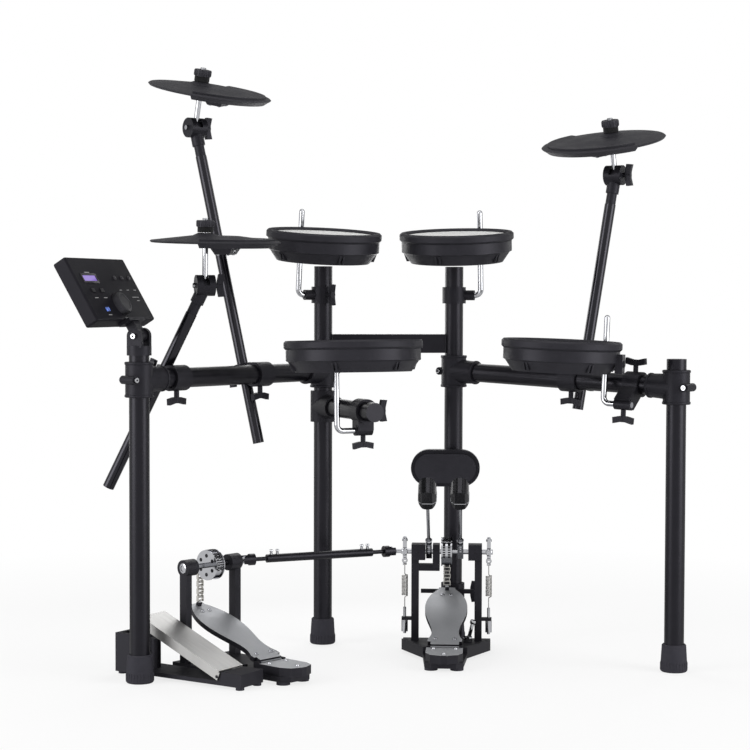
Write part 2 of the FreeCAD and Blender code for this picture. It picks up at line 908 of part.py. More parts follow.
class Arm:
    # One cymbal arm: where it crosses its wing tube, which way it leans and what it carries.
    def __init__(self, name, root, line, back, lean):
        self.name = name
        self.wing = line
        self.back = back
        self.hold = root + line * size(name + "_at")
        self.middle = self.hold + back * size("arm_offset")
        flat = Vector(line.x, line.y, 0).normalize()
        out_slope = lean * math.tan(math.radians(size(name + "_lean_deg")))
        back_slope = math.tan(math.radians(size(name + "_back_deg")))
        self.line = (axis_z + flat * out_slope + back * back_slope).normalize()
        side = math.sin(math.radians(size(name + "_side_deg")))
        front = -math.sin(math.radians(size(name + "_front_deg")))
        self.stem = Vector(side, front, math.sqrt(1 - side * side - front * front))
        self.hinge = axis_z.cross(self.stem).normalize()
        heading = math.radians(size(name + "_heading_deg"))
        self.toward = Vector(math.cos(heading), math.sin(heading), 0)
        top = self.middle + self.line * size(name + "_up")
        self.top = top
        self.collar = top + self.line * size("arm_step_len")
        self.pivot = self.collar + self.line * (size("arm_collar_len") + size("barrel_seat"))


arms = [
    Arm("hihat", left_root, left_line, left_back, -1),
    Arm("crash", left_root, left_line, left_back, 1),
    Arm("ride", right_root, right_line, right_back, 1),
]


def arm_clamp(arm):
    # Sleeve on the wing tube, neck behind it and a sleeve that the arm slides in.
    start = arm.hold - arm.wing * half_share * size("arm_clamp_len")
    sleeve = cylinder("clamp_r", "arm_clamp_len", pose(start, arm.wing))
    neck = block("arm_neck", "arm_neck", "arm_offset", pose(arm.hold, arm.back, arm.wing))
    grip_at = arm.middle - arm.line * half_share * size("arm_clamp_len")
    grip = cylinder("arm_clamp_r", "arm_clamp_len", pose(grip_at, arm.line))
    tube_bore = cylinder("tube_r + snug_gap", "arm_clamp_len", pose(start, arm.wing))
    bore_at = arm.middle - arm.line * size("arm_clamp_len")
    arm_bore = cylinder("arm_r + run_gap", "2 * arm_clamp_len", pose(bore_at, arm.line))
    down = (arm.wing * axis_z.dot(arm.wing) - axis_z).normalize()
    wing_bolt(pose(arm.hold + down * size("clamp_r"), down, arm.wing))
    rear = (arm.back - arm.line * arm.back.dot(arm.line)).normalize()
    wing_bolt(pose(arm.middle + rear * size("arm_clamp_r"), rear, arm.line))
    return cut(fuse(sleeve, neck, grip), tube_bore, arm_bore)


node("arm_clamps", [arm_clamp(arm) for arm in arms])


def cymbal_pad():
    # Bowed disc with a thick playing half and a sensor box, all round an off-centre hole.
    shift = moved(size("hole_offset"), 0, 0)
    disc = revolved(
        [
            ("0", "0"),
            ("bell_base_r + hole_offset", "0"),
            ("cymbal_r - cymbal_edge", "-cymbal_drop"),
            ("cymbal_r", "-cymbal_drop + cymbal_edge"),
            ("cymbal_r - cymbal_edge", "-cymbal_drop + cymbal_thick"),
            ("bell_base_r + hole_offset", "cymbal_thick"),
            ("0", "cymbal_thick"),
        ],
        shift,
    )
    bell_low = size("cymbal_thick") - size("swing_gap")
    bell = cone("bell_base_r", "bell_top_r", "bell_h", moved(0, 0, bell_low))
    low = size("cymbal_edge") - size("cymbal_drop") - size("half_h")
    half_cone = cone(
        "cymbal_r - half_bottom_inset",
        "cymbal_r - half_top_inset",
        "half_h",
        shift.multiply(moved(0, 0, low)),
    )
    keep = piece(
        "Part::Box",
        shift.multiply(moved(size("half_step"), -size("cymbal_r"), low)),
        Length="cymbal_r",
        Width="2 * cymbal_r",
        Height="half_h",
    )
    half = common(half_cone, keep)
    web_high = "half_h + cymbal_drop - cymbal_edge"
    web_low = shift.multiply(moved(0, 0, low + size("cymbal_edge")))
    web_drum = cylinder("cymbal_r - half_bottom_inset", f"{web_high} - cymbal_edge", web_low)
    web_keep = piece(
        "Part::Box",
        shift.multiply(moved(size("half_step"), -size("cymbal_r"), low)),
        Length="cymbal_r",
        Width="2 * cymbal_r",
        Height=web_high,
    )
    web = common(web_drum, web_keep)
    sensor = piece(
        "Part::Wedge",
        Placement(Vector(0, 0, low), Rotation(axis_x, -quarter_deg)),
        Xmin="box_near",
        Xmax="box_near + box_long",
        X2min="box_near + box_draft",
        X2max="box_near + box_long - box_draft",
        Ymin="0",
        Ymax="box_h",
        Zmin="-box_wide / 2",
        Zmax="box_wide / 2",
        Z2min="-box_wide / 2 + box_draft",
        Z2max="box_wide / 2 - box_draft",
    )
    hole_low = low - size("box_h")
    hole = cylinder("hole_r", "bell_h + cymbal_thick + cymbal_drop + half_h + box_h", moved(0, 0, hole_low))
    return cut(fuse(disc, bell, half, web, sensor), hole)


def arm_pieces(arm):
    # Tube with a stepped end, collar and slotted barrel, its bolt head and its wing nut.
    low = arm.middle - arm.line * size(arm.name + "_down")
    shaft = tube("arm_r", "arm_wall", f"{arm.name}_up + {arm.name}_down", pose(low, arm.line))
    inside = arm.top - arm.line * size("arm_collar_len")
    plug = cylinder("arm_r - arm_wall - snug_gap", "arm_collar_len", pose(inside, arm.line))
    neck = cylinder("arm_step_r", "arm_step_len", pose(arm.top, arm.line))
    collar = cylinder("arm_collar_r", "arm_collar_len + barrel_seat", pose(arm.collar, arm.line))
    near = arm.pivot - arm.hinge * half_share * size("barrel_len")
    far = arm.pivot + arm.hinge * half_share * size("barrel_len")
    barrel = cylinder("barrel_r", "barrel_len", pose(near, arm.hinge))
    slot_at = arm.pivot - arm.hinge * (half_share * size("knuckle_len") + size("part_gap"))
    slot_wide = "knuckle_len + 2 * part_gap"
    round_slot = cylinder("knuckle_r + part_gap", slot_wide, pose(slot_at, arm.hinge))
    open_slot = piece(
        "Part::Box",
        pose(slot_at, arm.hinge, axis_z).multiply(moved(0, -size("barrel_r"), 0)),
        Length="2 * barrel_r",
        Width="2 * barrel_r",
        Height=slot_wide,
    )
    tip = cut(fuse(plug, neck, collar, barrel), round_slot, open_slot)
    head = cylinder("key_r", "key_h", pose(near, -arm.hinge))
    return [shaft, tip, head, again(hand_nut, pose(far, arm.hinge, axis_z))]


def ring(radius, height, low):
    # A washer on the tilter's stem.
    return cut(cylinder(radius, height, moved(0, 0, low)), cylinder("stem_r", height, moved(0, 0, low)))


def tilter_pieces(seat):
    # Knuckle with its chrome stem, seat below the cymbal, felt and nut above it.
    knuckle_at = moved(-half_share * size("knuckle_len"), 0, 0).multiply(pose(origin, axis_x))
    knuckle = cylinder("knuckle_r", "knuckle_len", knuckle_at)
    stem = cylinder("stem_r", f"{seat} + stem_tip + felt_h", moved(0, 0, 0))
    washer = ring("seat_r", "seat_h", size(seat) - size("swing_gap") - size("seat_h"))
    felt_low = size(seat) + size("cymbal_thick") + size("bell_h")
    felt = ring("felt_r", "felt_h", felt_low)
    nut = ring("nut_r", "nut_h", felt_low + size("felt_h"))
    return [fuse(knuckle, stem), washer, felt, nut]


# Cymbals on their arms and tilters.
cymbal = cymbal_pad()
for arm in arms:
    seat = arm.name + "_seat"
    hole = arm.pivot + arm.stem * size(seat)
    node(arm.name + "_arm", arm_pieces(arm))
    node(arm.name + "_tilter", tilter_pieces(seat), pose(arm.pivot, arm.stem, arm.hinge))
    node(arm.name + "_cymbal", [again(cymbal, Placement())], pose(hole, arm.stem, arm.toward))
    joint(arm.name + "_arm_slide", arm.middle, arm.line)
    joint(arm.name + "_tilt", arm.pivot, arm.hinge)
    joint(arm.name + "_swing", hole, arm.hinge)


def pad_set(name, radius, reach, rod_h, up, corner, leg, leg_len, tilt, facing, jack_side):
    # One pad: bent rod turning in its clamp, shell with holder and jack box, hoop and head.
    level = Placement(corner, Rotation(leg, axis_z.cross(leg), axis_z, "XZY"))
    side = 1 if level.Rotation.multVec(axis_y).y > 0 else -1
    leaning = level.multiply(turned(axis_x, side * size(tilt)))
    upright = cylinder("rod_r", f"{rod_h} - rod_bend", moved(0, 0, size("rod_bend")))
    end = ball("rod_r", moved(0, 0, size(rod_h)))
    bend = piece(
        "Part::Torus",
        Placement(Vector(size("rod_bend"), 0, size("rod_bend")), Rotation(axis_x, quarter_deg)),
        Radius1="rod_bend",
        Radius2="rod_r",
    )
    corner_keep = piece(
        "Part::Box",
        moved(-size("rod_bend"), -size("rod_bend"), -size("rod_bend")),
        Length="2 * rod_bend",
        Width="2 * rod_bend",
        Height="2 * rod_bend",
    )
    level_leg = piece(
        "Part::Cylinder",
        Placement(Vector(size("rod_bend"), 0, 0), Rotation(axis_y, quarter_deg)),
        Radius="rod_r",
        Height=f"{leg_len} - rod_bend",
    )
    node(name + "_rod", [fuse(upright, end, common(bend, corner_keep), level_leg)], leaning)
    joint(name + "_tilt", corner, leg)

    heading = math.radians(size(facing)) - math.atan2(leg.y, leg.x)
    pad_place = leaning.multiply(turned(axis_z, math.degrees(heading))).multiply(moved(0, 0, size(up)))
    middle = moved(size(reach), 0, 0)
    shell = revolved(
        [
            ("0", "0"),
            (f"{radius} - skirt_inset", "0"),
            (f"{radius} - band_inset - wall_thick", "skirt_h"),
            (f"{radius} - band_inset", "band_low"),
            (f"{radius} - band_inset", "band_top"),
            (f"{radius} - wall_inset", "hoop_low"),
            (f"{radius} - wall_inset", "head_z"),
            (f"{radius} - wall_inset - wall_thick", "head_z"),
            (f"{radius} - wall_inset - wall_thick", "band_low"),
            (f"{radius} - skirt_inset - wall_thick", "wall_thick"),
            ("0", "wall_thick"),
        ],
        middle,
    )
    hoop = revolved(
        [
            (f"{radius} - wall_inset + part_gap", "hoop_low"),
            (f"{radius} - hoop_round", "hoop_low"),
            (f"{radius}", "hoop_low + hoop_round"),
            (f"{radius}", "pad_h - hoop_round"),
            (f"{radius} - hoop_round", "pad_h"),
            (f"{radius} - hoop_lip + hoop_round", "pad_h"),
            (f"{radius} - hoop_lip", "pad_h - hoop_round"),
            (f"{radius} - hoop_lip", "head_z + head_thick"),
            (f"{radius} - wall_inset + part_gap", "head_z + head_thick"),
        ],
        middle,
    )
    head = revolved(
        [
            ("0", "head_z"),
            (f"{radius} - wall_inset", "head_z"),
            (f"{radius} - wall_inset", "head_z + head_thick"),
            ("0", "head_z + head_thick"),
        ],
        middle,
    )
    holder = piece(
        "Part::Box",
        moved(-size("holder_back"), -half_share * size("holder_wide"), size("holder_low")),
        Length=f"{reach} - {radius} + band_inset + holder_bite + holder_back",
        Width="holder_wide",
        Height="holder_h",
    )
    jack_turn = middle.multiply(turned(axis_z, jack_side * size("jack_deg")))
    jack_place = jack_turn.multiply(moved(size(radius) - size("band_inset") - size("holder_bite"), 0, 0))
    jack = piece(
        "Part::Box",
        jack_place.multiply(moved(0, -half_share * size("jack_wide"), size("holder_low"))),
        Length="jack_long",
        Width="jack_wide",
        Height="jack_h",
    )
    bore = cylinder("rod_r + run_gap", "pad_h", moved(0, 0, 0))
    hollow_place = middle.multiply(moved(0, 0, size("band_low")))
    hollow = cylinder(f"{radius} - wall_inset - wall_thick", "head_z - band_low", hollow_place)
    node(name + "_shell", [cut(fuse(shell, holder, jack), bore, hollow), hoop], pad_place)
    node(name + "_head", [head], pad_place)
    joint(name + "_slide", pad_place.Base, pad_place.Rotation.multVec(axis_z))


# Drum pads.
tom_height = axis_z * size("tom_clamp_z")
pad_set(
    "left_tom", "tom_r", "tom_reach", "tom_rod_h", "tom_pad_up",
    inner_left + tom_height - left_leg * size("tom_rod_out"), left_leg,
    "tom_rod_out - tom_leg_stop", "tom_tilt_deg", "left_tom_deg", 1,
)
pad_set(
    "right_tom", "tom_r", "tom_reach", "tom_rod_h", "tom_pad_up",
    inner_right + tom_height - right_leg * size("tom_rod_out"), right_leg,
    "tom_rod_out - tom_leg_stop", "tom_tilt_deg", "right_tom_deg", -1,
)
pad_set(
    "snare", "snare_r", "snare_reach", "snare_rod_h", "snare_pad_up",
    snare_leg_centre - snare_leg * size("snare_rod_out"), snare_leg,
    "snare_rod_out + hang_boss_len / 2", "snare_tilt_deg", "snare_deg", 1,
)
pad_set(
    "floor_tom", "tom_r", "tom_reach", "floor_rod_h", "floor_pad_up",
    floor_leg_centre - floor_leg * size("floor_rod_out"), floor_leg,
    "floor_rod_out + hang_boss_len / 2", "floor_tilt_deg", "floor_deg", 1,
)

# Pedal frames on the floor.
main_place = Placement(at(size("main_x"), size("main_y"), 0), Rotation(axis_z, size("main_deg")))
side_spot = outer_left + Vector(size("side_right"), size("side_rear"), 0)
side_place = Placement(side_spot, Rotation(axis_z, size("side_deg")))
post_local = main_place.inverse().multVec(inner_right)

# Kick pad: rubber face on a housing, held by a clamp on the inner right post.
kick_back = size("kick_front") + size("kick_rubber")
upright_face = Rotation(axis_x, -quarter_deg)
housing_place = Placement(Vector(size("kick_x"), kick_back, size("kick_z")), upright_face)
rubber_place = Placement(Vector(size("kick_x"), size("kick_front"), size("kick_z")), upright_face)
housing = stadium("kick_w", "kick_h", "kick_thick", housing_place)
rubber = stadium(
    "kick_w - kick_inset - kick_inset", "kick_h - kick_inset - kick_inset", "kick_rubber", rubber_place
)
node("kick_pad_housing", [housing], main_place)
node("kick_pad_face", [rubber], main_place)

kick_rear = kick_back + size("kick_thick")
kick_low = Vector(post_local.x, post_local.y, size("kick_z") - half_share * size("kick_clamp_h"))
kick_sleeve = cylinder("clamp_r", "kick_clamp_h", Placement(kick_low, Rotation()))
kick_arm = piece(
    "Part::Box",
    moved(
        post_local.x - half_share * size("kick_arm_wide"),
        kick_rear,
        size("kick_z") - half_share * size("kick_arm_h"),
    ),
    Length="kick_arm_wide",
    Height="kick_arm_h",
)
kick_arm.Width = post_local.y - kick_rear
kick_bore = cylinder("tube_r + snug_gap", "kick_clamp_h", Placement(kick_low, Rotation()))
kick_clamp = cut(fuse(kick_sleeve, kick_arm), kick_bore)
hoop_low = Vector(post_local.x, post_local.y, size("hoop_bar_z") - half_share * size("hoop_clamp_h"))
hoop_sleeve = cylinder("clamp_r", "hoop_clamp_h", Placement(hoop_low, Rotation()))
hoop_arm = piece(
    "Part::Box",
    moved(post_local.x - half_share * size("hoop_arm_wide"), size("hoop_bar_y"), hoop_low.z),
    Length="hoop_arm_wide",
    Height="hoop_clamp_h",
)
hoop_arm.Width = post_local.y - size("hoop_bar_y")
hoop_bar = block(
    "hoop_bar_long", "hoop_bar_thick", "hoop_bar_thick",
    moved(0, size("hoop_bar_y"), size("hoop_bar_z")),
)
hoop_bore = cylinder("tube_r + snug_gap", "hoop_clamp_h", Placement(hoop_low, Rotation()))
base_top = size("base_low") + size("base_thick")
tongue_near = size("base_back") - size("tongue_bite")
strap_near = size("hoop_bar_y") - size("tongue_thick") - half_share * size("tongue_thick")
tongue_left = post_local.x - half_share * size("tongue_wide")
tongue = piece(
    "Part::Box",
    moved(tongue_left, tongue_near, base_top),
    Length="tongue_wide",
    Width="hoop_bar_y - tongue_thick / 2 - base_back + tongue_bite",
    Height="tongue_thick",
)
strap = piece(
    "Part::Box",
    moved(tongue_left, strap_near, base_top),
    Length="tongue_wide",
    Width="tongue_thick",
    Height="hoop_bar_z - base_low - base_thick + tongue_thick",
)
hoop_clamp = cut(fuse(hoop_sleeve, hoop_arm, hoop_bar, strap, tongue), hoop_bore)
node("kick_post_clamps", [kick_clamp, hoop_clamp], main_place)
# Hand bolts of these clamps: the upper one left of the post, behind the pad, and the lower one right of it.
kick_bolt_at = Vector(post_local.x - size("clamp_r"), post_local.y, size("kick_z"))
hoop_bolt_at = Vector(post_local.x + size("clamp_r"), post_local.y, size("hoop_bar_z"))
for place in (pose(kick_bolt_at, -axis_x, axis_z), pose(hoop_bolt_at, axis_x, axis_z)):
    wing_bolt(main_place.multiply(place))


def pedal_floor(back_half):
    # Base plate on rubber feet, with a raised rim each side, and lugs and a pin for the footboard.
    bottom = moved(0, 0, size("base_low"))
    floor = plate(
        [
            (back_half, "base_back"),
            (f"-{back_half}", "base_back"),
            (f"-{back_half}", "base_wide_end"),
            ("-base_neck_half", "base_neck"),
            ("-base_heel_half", "base_heel + base_heel_corner"),
            ("-base_heel_half + base_heel_corner", "base_heel"),
            ("base_heel_half - base_heel_corner", "base_heel"),
            ("base_heel_half", "base_heel + base_heel_corner"),
            ("base_neck_half", "base_neck"),
            (back_half, "base_wide_end"),
        ],
        "base_thick",
        bottom,
    )
    rims = []
    for side in ("", "-"):
        rim = plate(
            [
                (f"{side}{back_half}", "base_wide_end"),
                (f"{side}base_neck_half", "base_neck"),
                (f"{side}(base_neck_half - rim_wide)", "base_neck"),
                (f"{side}({back_half} - rim_wide)", "base_wide_end"),
            ],
            "base_thick + rim_h",
            bottom,
        )
        rims.append(rim)
    feet = []
    heel_foot = size("base_heel") + size("base_heel_corner") + half_share * size("pedal_foot_r")
    heel_side = size("base_heel_half") - size("pedal_foot_r")
    back_side = size(back_half) - size("pedal_foot_r")
    for side in (-1, 1):
        feet.append(cylinder("pedal_foot_r", "base_low", moved(side * heel_side, heel_foot, 0)))
        feet.append(cylinder("pedal_foot_r", "base_low", moved(side * back_side, 0, 0)))
    lugs = []
    top = size("base_low") + size("base_thick")
    lug_x = half_share * (size("hinge_barrel_len") + size("hinge_lug_wide")) + size("part_gap")
    for side in (-1, 1):
        lug = piece(
            "Part::Box",
            moved(
                side * lug_x - half_share * size("hinge_lug_wide"),
                size("hinge_y") - half_share * size("hinge_lug_deep"),
                top - size("part_gap"),
            ),
            Length="hinge_lug_wide",
            Width="hinge_lug_deep",
            Height="hinge_z - base_low - base_thick + hinge_barrel_r + part_gap",
        )
        lugs.append(lug)
    pin_at = Vector(-lug_x, size("hinge_y"), size("hinge_z"))
    pin = cylinder("hinge_pin_r", "hinge_barrel_len + hinge_lug_wide + 2 * part_gap", pose(pin_at, axis_x))
    return [fuse(floor, *rims, *lugs, pin)] + feet


def heel_plate(place):
    slab = plate(
        [
            ("heel_half", "hinge_y - heel_gap"),
            ("-heel_half", "hinge_y - heel_gap"),
            ("-heel_half", "heel_end + heel_round"),
            ("-heel_half + heel_shave", "heel_end + heel_shave"),
            ("-heel_half + heel_round", "heel_end"),
            ("heel_half - heel_round", "heel_end"),
            ("heel_half - heel_shave", "heel_end + heel_shave"),
            ("heel_half", "heel_end + heel_round"),
        ],
        "heel_top - base_low - base_thick",
        place.multiply(moved(0, 0, size("base_low") + size("base_thick"))),
    )
    return slab


def footboard():
    # Waisted board on a hinge barrel, with a lug for the chain at its toe.
    long = size("board_len")
    stations = (
        ("board_start_share", "board_hinge_half"),
        ("board_hinge_share", "board_hinge_half"),
        ("board_neck_share", "board_neck_half"),
        ("board_rise_share", "board_rise_half"),
        ("board_wide_share", "board_wide_half"),
        ("board_fall_share", "board_fall_half"),
        ("board_nose_share", "board_nose_half"),
        ("board_toe_share", "board_toe_half"),
        ("board_end_share", "board_toe_half"),
    )
    right = [Vector(size(half), long * size(share), 0) for share, half in stations]
    left = [Vector(-point.x, point.y, 0) for point in reversed(right)]
    edges = []
    for side in (right, left):
        curve = Part.BSplineCurve()
        curve.interpolate(side[1:-1])
        edges.append(Part.makeLine(side[0], side[1]))
        edges.append(curve.toShape())
        edges.append(Part.makeLine(side[-2], side[-1]))
        other = left if side is right else right
        edges.append(Part.makeLine(side[-1], other[0]))
    face = doc.addObject("Part::Feature", "BoardOutline")
    face.Shape = Part.Face(Part.Wire(edges))
    slab = doc.addObject("Part::Extrusion", "Board")
    slab.Base = face
    slab.DirMode = "Custom"
    slab.Dir = axis_z
    slab.setExpression("LengthFwd", cell("board_thick"))
    slab.Solid = True
    barrel_at = Vector(-half_share * size("hinge_barrel_len"), 0, 0)
    barrel = cylinder("hinge_barrel_r", "hinge_barrel_len", pose(barrel_at, axis_x))
    bore = cylinder("hinge_pin_r + run_gap", "hinge_barrel_len", pose(barrel_at, axis_x))
    tongue_at = moved(0, half_share * size("board_tongue"), 0)
    tongue = block("hinge_barrel_len", "board_tongue", "board_thick", tongue_at)
    lug = block(
        "toe_lug", "toe_lug", "toe_lug",
        moved(0, long - size("toe_lug"), size("board_thick") - size("part_gap")),
    )
    return cut(fuse(slab, barrel, tongue, lug), bore)


board = footboard()
board_pose = moved(0, size("hinge_y"), size("hinge_z")).multiply(turned(axis_x, size("board_deg")))
toe = board_pose.multVec(
    Vector(0, size("board_len") - size("toe_lug"), size("board_thick") + size("toe_lug") - size("part_gap"))
)


def uprights(middle):
    # Frame: two uprights with bearings; the main one adds a middle bearing and spring tabs.
    floor = size("base_low") + size("base_thick")
    bearing_low = size("axle_z") - half_share * size("bearing_h")
    start = pose(Vector(-size("axle_end"), 0, size("axle_z")), axis_x)
    tools = [cylinder("axle_r + run_gap", "2 * axle_end", start)]
    parts = []
    for side in (-1, 1):
        leg_left = side * size("upright_x") - half_share * size("upright_wide")
        leg = piece(
            "Part::Box",
            moved(leg_left, -half_share * size("upright_deep"), floor),
            Length="upright_wide",
            Width="upright_deep",
            Height="axle_z - base_low - base_thick",
        )
        bearing_left = side * size("bearing_x") - half_share * size("bearing_wide")
        if middle:
            bearing_at = moved(side * size("bearing_x"), 0, bearing_low)
            bearing = block("bearing_wide", "bearing_h", "bearing_h", bearing_at)
        else:
            bearing_at = pose(Vector(bearing_left, 0, size("axle_z")), axis_x)
            bearing = cylinder("bearing_h / 2", "bearing_wide", bearing_at)
        parts += [leg, bearing]
    if middle:
        mid_low = size("mid_bar_z") + half_share * size("mid_bar_h")
        mid_block = piece(
            "Part::Box",
            moved(size("mid_x") - half_share * size("mid_wide"), -half_share * size("bearing_h"), mid_low),
            Length="mid_wide",
            Width="bearing_h",
            Height="axle_z + bearing_h / 2 - mid_bar_z - mid_bar_h / 2",
        )
        span = piece(
            "Part::Box",
            moved(-size("upright_x"), -half_share * size("mid_bar_deep"), size("mid_bar_z")),
            Length="upright_x + mid_x + mid_wide / 2",
            Width="mid_bar_deep",
            Height="mid_bar_h",
        )
        parts += [mid_block, span]
        tab_long = half_share * size("upright_wide") + size("tab_reach")
        for near in (-size("upright_x") - tab_long, size("upright_x")):
            tab = piece(
                "Part::Box",
                moved(near, -half_share * size("tab_deep"), size("tab_z")),
                Length="tab_reach + upright_wide / 2",
                Width="tab_deep",
                Height="tab_h",
            )
            parts.append(tab)
        for side in (-1, 1):
            hole_at = moved(side * size("lever_x"), 0, size("tab_z"))
            tools.append(cylinder("adjuster_r + snug_gap", "tab_h", hole_at))
    return cut(fuse(*parts), *tools)


def axle(start, end):
    return bar_between("axle_r", Vector(start, 0, 0), Vector(end, 0, 0))


def cam(x):
    # Sprocket drum between two thin flanges.
    low = x - half_share * size("cam_wide")
    drum = cylinder("cam_r", "cam_wide", pose(Vector(low, 0, 0), axis_x))
    rims = [
        cylinder("cam_flange_r", "cam_flange", pose(Vector(edge, 0, 0), axis_x))
        for edge in (low - size("cam_flange"), low + size("cam_wide"))
    ]
    return [drum] + rims


def hub(x):
    return block("hub_wide", "hub_deep", "hub_tall", moved(x, 0, -size("hub_low")))


def lever(side):
    # Round clamp on the axle's end with an arm down to the spring's pin.
    x = side * size("lever_x") - half_share * size("lever_wide")
    drum = cylinder("lever_r", "lever_wide", pose(Vector(x, 0, 0), axis_x))
    arm = piece(
        "Part::Box",
        moved(x, -half_share * size("lever_wide"), -size("lever_drop") + size("lever_wide")),
        Length="lever_wide",
        Width="lever_wide",
        Height="lever_drop + lever_top - lever_wide",
    )
    cheek = piece(
        "Part::Box",
        moved(x, -half_share * size("lever_wide"), -size("lever_drop") - size("hook_pin_r")),
        Length="hook_pin_r",
        Width="lever_wide",
        Height="lever_wide + 2 * hook_pin_r",
    )
    pin = cylinder("hook_pin_r", "lever_wide", pose(Vector(x, 0, -size("lever_drop")), axis_x))
    return [drum, arm, cheek, pin]


def universal_ball(x, root):
    # Ball of a universal joint on a stem from the axle's end.
    stem = bar_between("joint_stem_r", Vector(root, 0, 0), Vector(x, 0, 0))
    return [stem, ball("joint_ball_r", moved(x, 0, 0))]


def beater(x):
    # Barrel beater with round ends on its rod.
    rod_low = moved(x, 0, size("hub_tall") - size("hub_low"))
    rod_len = "beater_len - hub_tall + hub_low - beater_tall / 2 + beater_bite"
    rod = cylinder("beater_rod_r", rod_len, rod_low)
    back = Vector(x, -half_share * size("beater_deep"), size("beater_len"))
    head_place = pose(back, axis_y, axis_z)
    head_low = size("beater_len") - half_share * size("beater_tall")
    barrel = cylinder("beater_round", "beater_tall", moved(x, 0, head_low))
    head = common(stadium("beater_tall", "beater_wide", "beater_deep", head_place), barrel)
    return [rod, cut(head, cylinder("beater_rod_r", rod_len, rod_low))]


# Main pedal.
axle_height = moved(0, 0, size("axle_z"))
beater_rest = turned(axis_x, size("beater_rest_deg"))
axle_rest = main_place.multiply(axle_height)
node("pedal_base", pedal_floor("main_back_half"), main_place)
node("pedal_frame", [uprights(True)], main_place)
node("pedal_footboard", [again(board, board_pose)], main_place)
mid_gap = size("mid_x")
main_lever = lever(1)
main_hub = hub(size("hub_x"))
main_hub.Placement = beater_rest.multiply(main_hub.Placement)
node(
    "main_axle",
    [fuse(axle(mid_gap + size("part_gap"), size("axle_end")), *cam(0), main_hub, *main_lever)],
    axle_rest,
)
left_hub = hub(size("left_hub_x"))
left_hub.Placement = beater_rest.multiply(left_hub.Placement)
left_ball = universal_ball(-size("joint_x"), -size("axle_end"))
node(
    "left_axle",
    [fuse(axle(-size("axle_end"), mid_gap - size("part_gap")), left_hub, *lever(-1), *left_ball)],
    axle_rest,
)
node("main_beater", beater(size("hub_x")), axle_rest.multiply(beater_rest))
node("left_beater", beater(size("left_hub_x")), axle_rest.multiply(beater_rest))
hinge_point = main_place.multVec(Vector(0, size("hinge_y"), size("hinge_z")))
main_axis = main_place.Rotation.multVec(axis_x)
joint("pedal_footboard", hinge_point, main_axis)
joint("main_axle", axle_rest.Base, main_axis)
joint("left_axle", axle_rest.Base, main_axis)

# Left pedal.
side_rest = side_place.multiply(axle_height)
node("side_base", pedal_floor("side_back_half"), side_place)
node("side_frame", [uprights(False)], side_place)
node("side_footboard", [again(board, board_pose)], side_place)
bearing_end = size("bearing_x") + half_share * size("bearing_wide")
side_ball = universal_ball(size("side_joint_x"), bearing_end)
node(
    "side_axle",
    [fuse(axle(-bearing_end, bearing_end), *cam(0), *side_ball)],
    side_rest,
)
side_axis = side_place.Rotation.multVec(axis_x)
joint("side_footboard", side_place.multVec(Vector(0, size("hinge_y"), size("hinge_z"))), side_axis)
joint("side_axle", side_rest.Base, side_axis)
node("heel_plates", [heel_plate(main_place), heel_plate(side_place)])


def chain():
    # Roller chain from the cam to the toe: bushed inner links and pinned outer links in turn.
    top = size("axle_z")
    foot = toe.z + half_share * size("chain_plate_h") + size("part_gap")
    count = int((top - foot) // size("chain_pitch"))
    pitch = (top - foot) / count
    links = []
    for i in range(count):
        ends = (top - i * pitch, top - (i + 1) * pitch)
        inner = i % 2 == 0
        step = 0 if inner else size("chain_plate") + size("chain_gap")
        half = half_share * size("chain_inner") + step
        parts = []
        holes = []
        for left in (-half - size("chain_plate"), half):
            strap = piece(
                "Part::Box",
                moved(left, size("chain_out") - half_share * size("chain_plate_h"), ends[1]),
                Length="chain_plate",
                Width="chain_plate_h",
            )
            strap.Height = pitch
            parts.append(strap)
            for z in ends:
                eye = pose(Vector(left, size("chain_out"), z), axis_x)
                parts.append(cylinder("chain_plate_h / 2", "chain_plate", eye))
        for z in ends:
            start = pose(Vector(-half, size("chain_out"), z), axis_x)
            through = pose(Vector(-half - size("chain_plate"), size("chain_out"), z), axis_x)
            if inner:
                parts.append(cylinder("chain_roller_r", "chain_inner", start))
                holes.append(cylinder("chain_pin_r + chain_gap", "chain_inner + 2 * chain_plate", through))
            else:
                pin_long = "chain_inner + 2 * chain_plate + 2 * chain_gap"
                parts.append(cylinder("chain_pin_r", pin_long, start))
        links.append(cut(fuse(*parts), *holes) if inner else fuse(*parts))
    return links


main_chain = chain()
node("main_chain", main_chain, main_place)
node("side_chain", [again(link, Placement()) for link in main_chain], side_place)


def biarc(first, first_line, last, last_line):
    # Two arcs that leave one point along one line and reach the next along another.
    gap = last - first
    lines = first_line + last_line
    spread = 2 * (1 - first_line.dot(last_line))
    along = gap.dot(lines)
    reach = (-along + math.sqrt(along * along + spread * gap.dot(gap))) / spread
    middle = (first + last + (first_line - last_line) * reach) * half_share
    arcs = []
    for start, line, end in ((first, first_line, middle), (last, -last_line, middle)):
        chord = end - start
        away = (chord - line * chord.dot(line)).normalize()
        swing = 2 * math.atan2(chord.dot(away), chord.dot(line))
        radius = chord.Length * half_share / math.sin(half_share * swing)
        centre = start + away * radius
        half_way = half_share * swing
        between = centre - away * radius * math.cos(half_way) + line * radius * math.sin(half_way)
        arcs.append((start, between, end))
    first_arc = Part.Arc(*arcs[0]).toShape()
    second_arc = Part.Arc(arcs[1][2], arcs[1][1], arcs[1][0]).toShape()
    return [first_arc, second_arc]


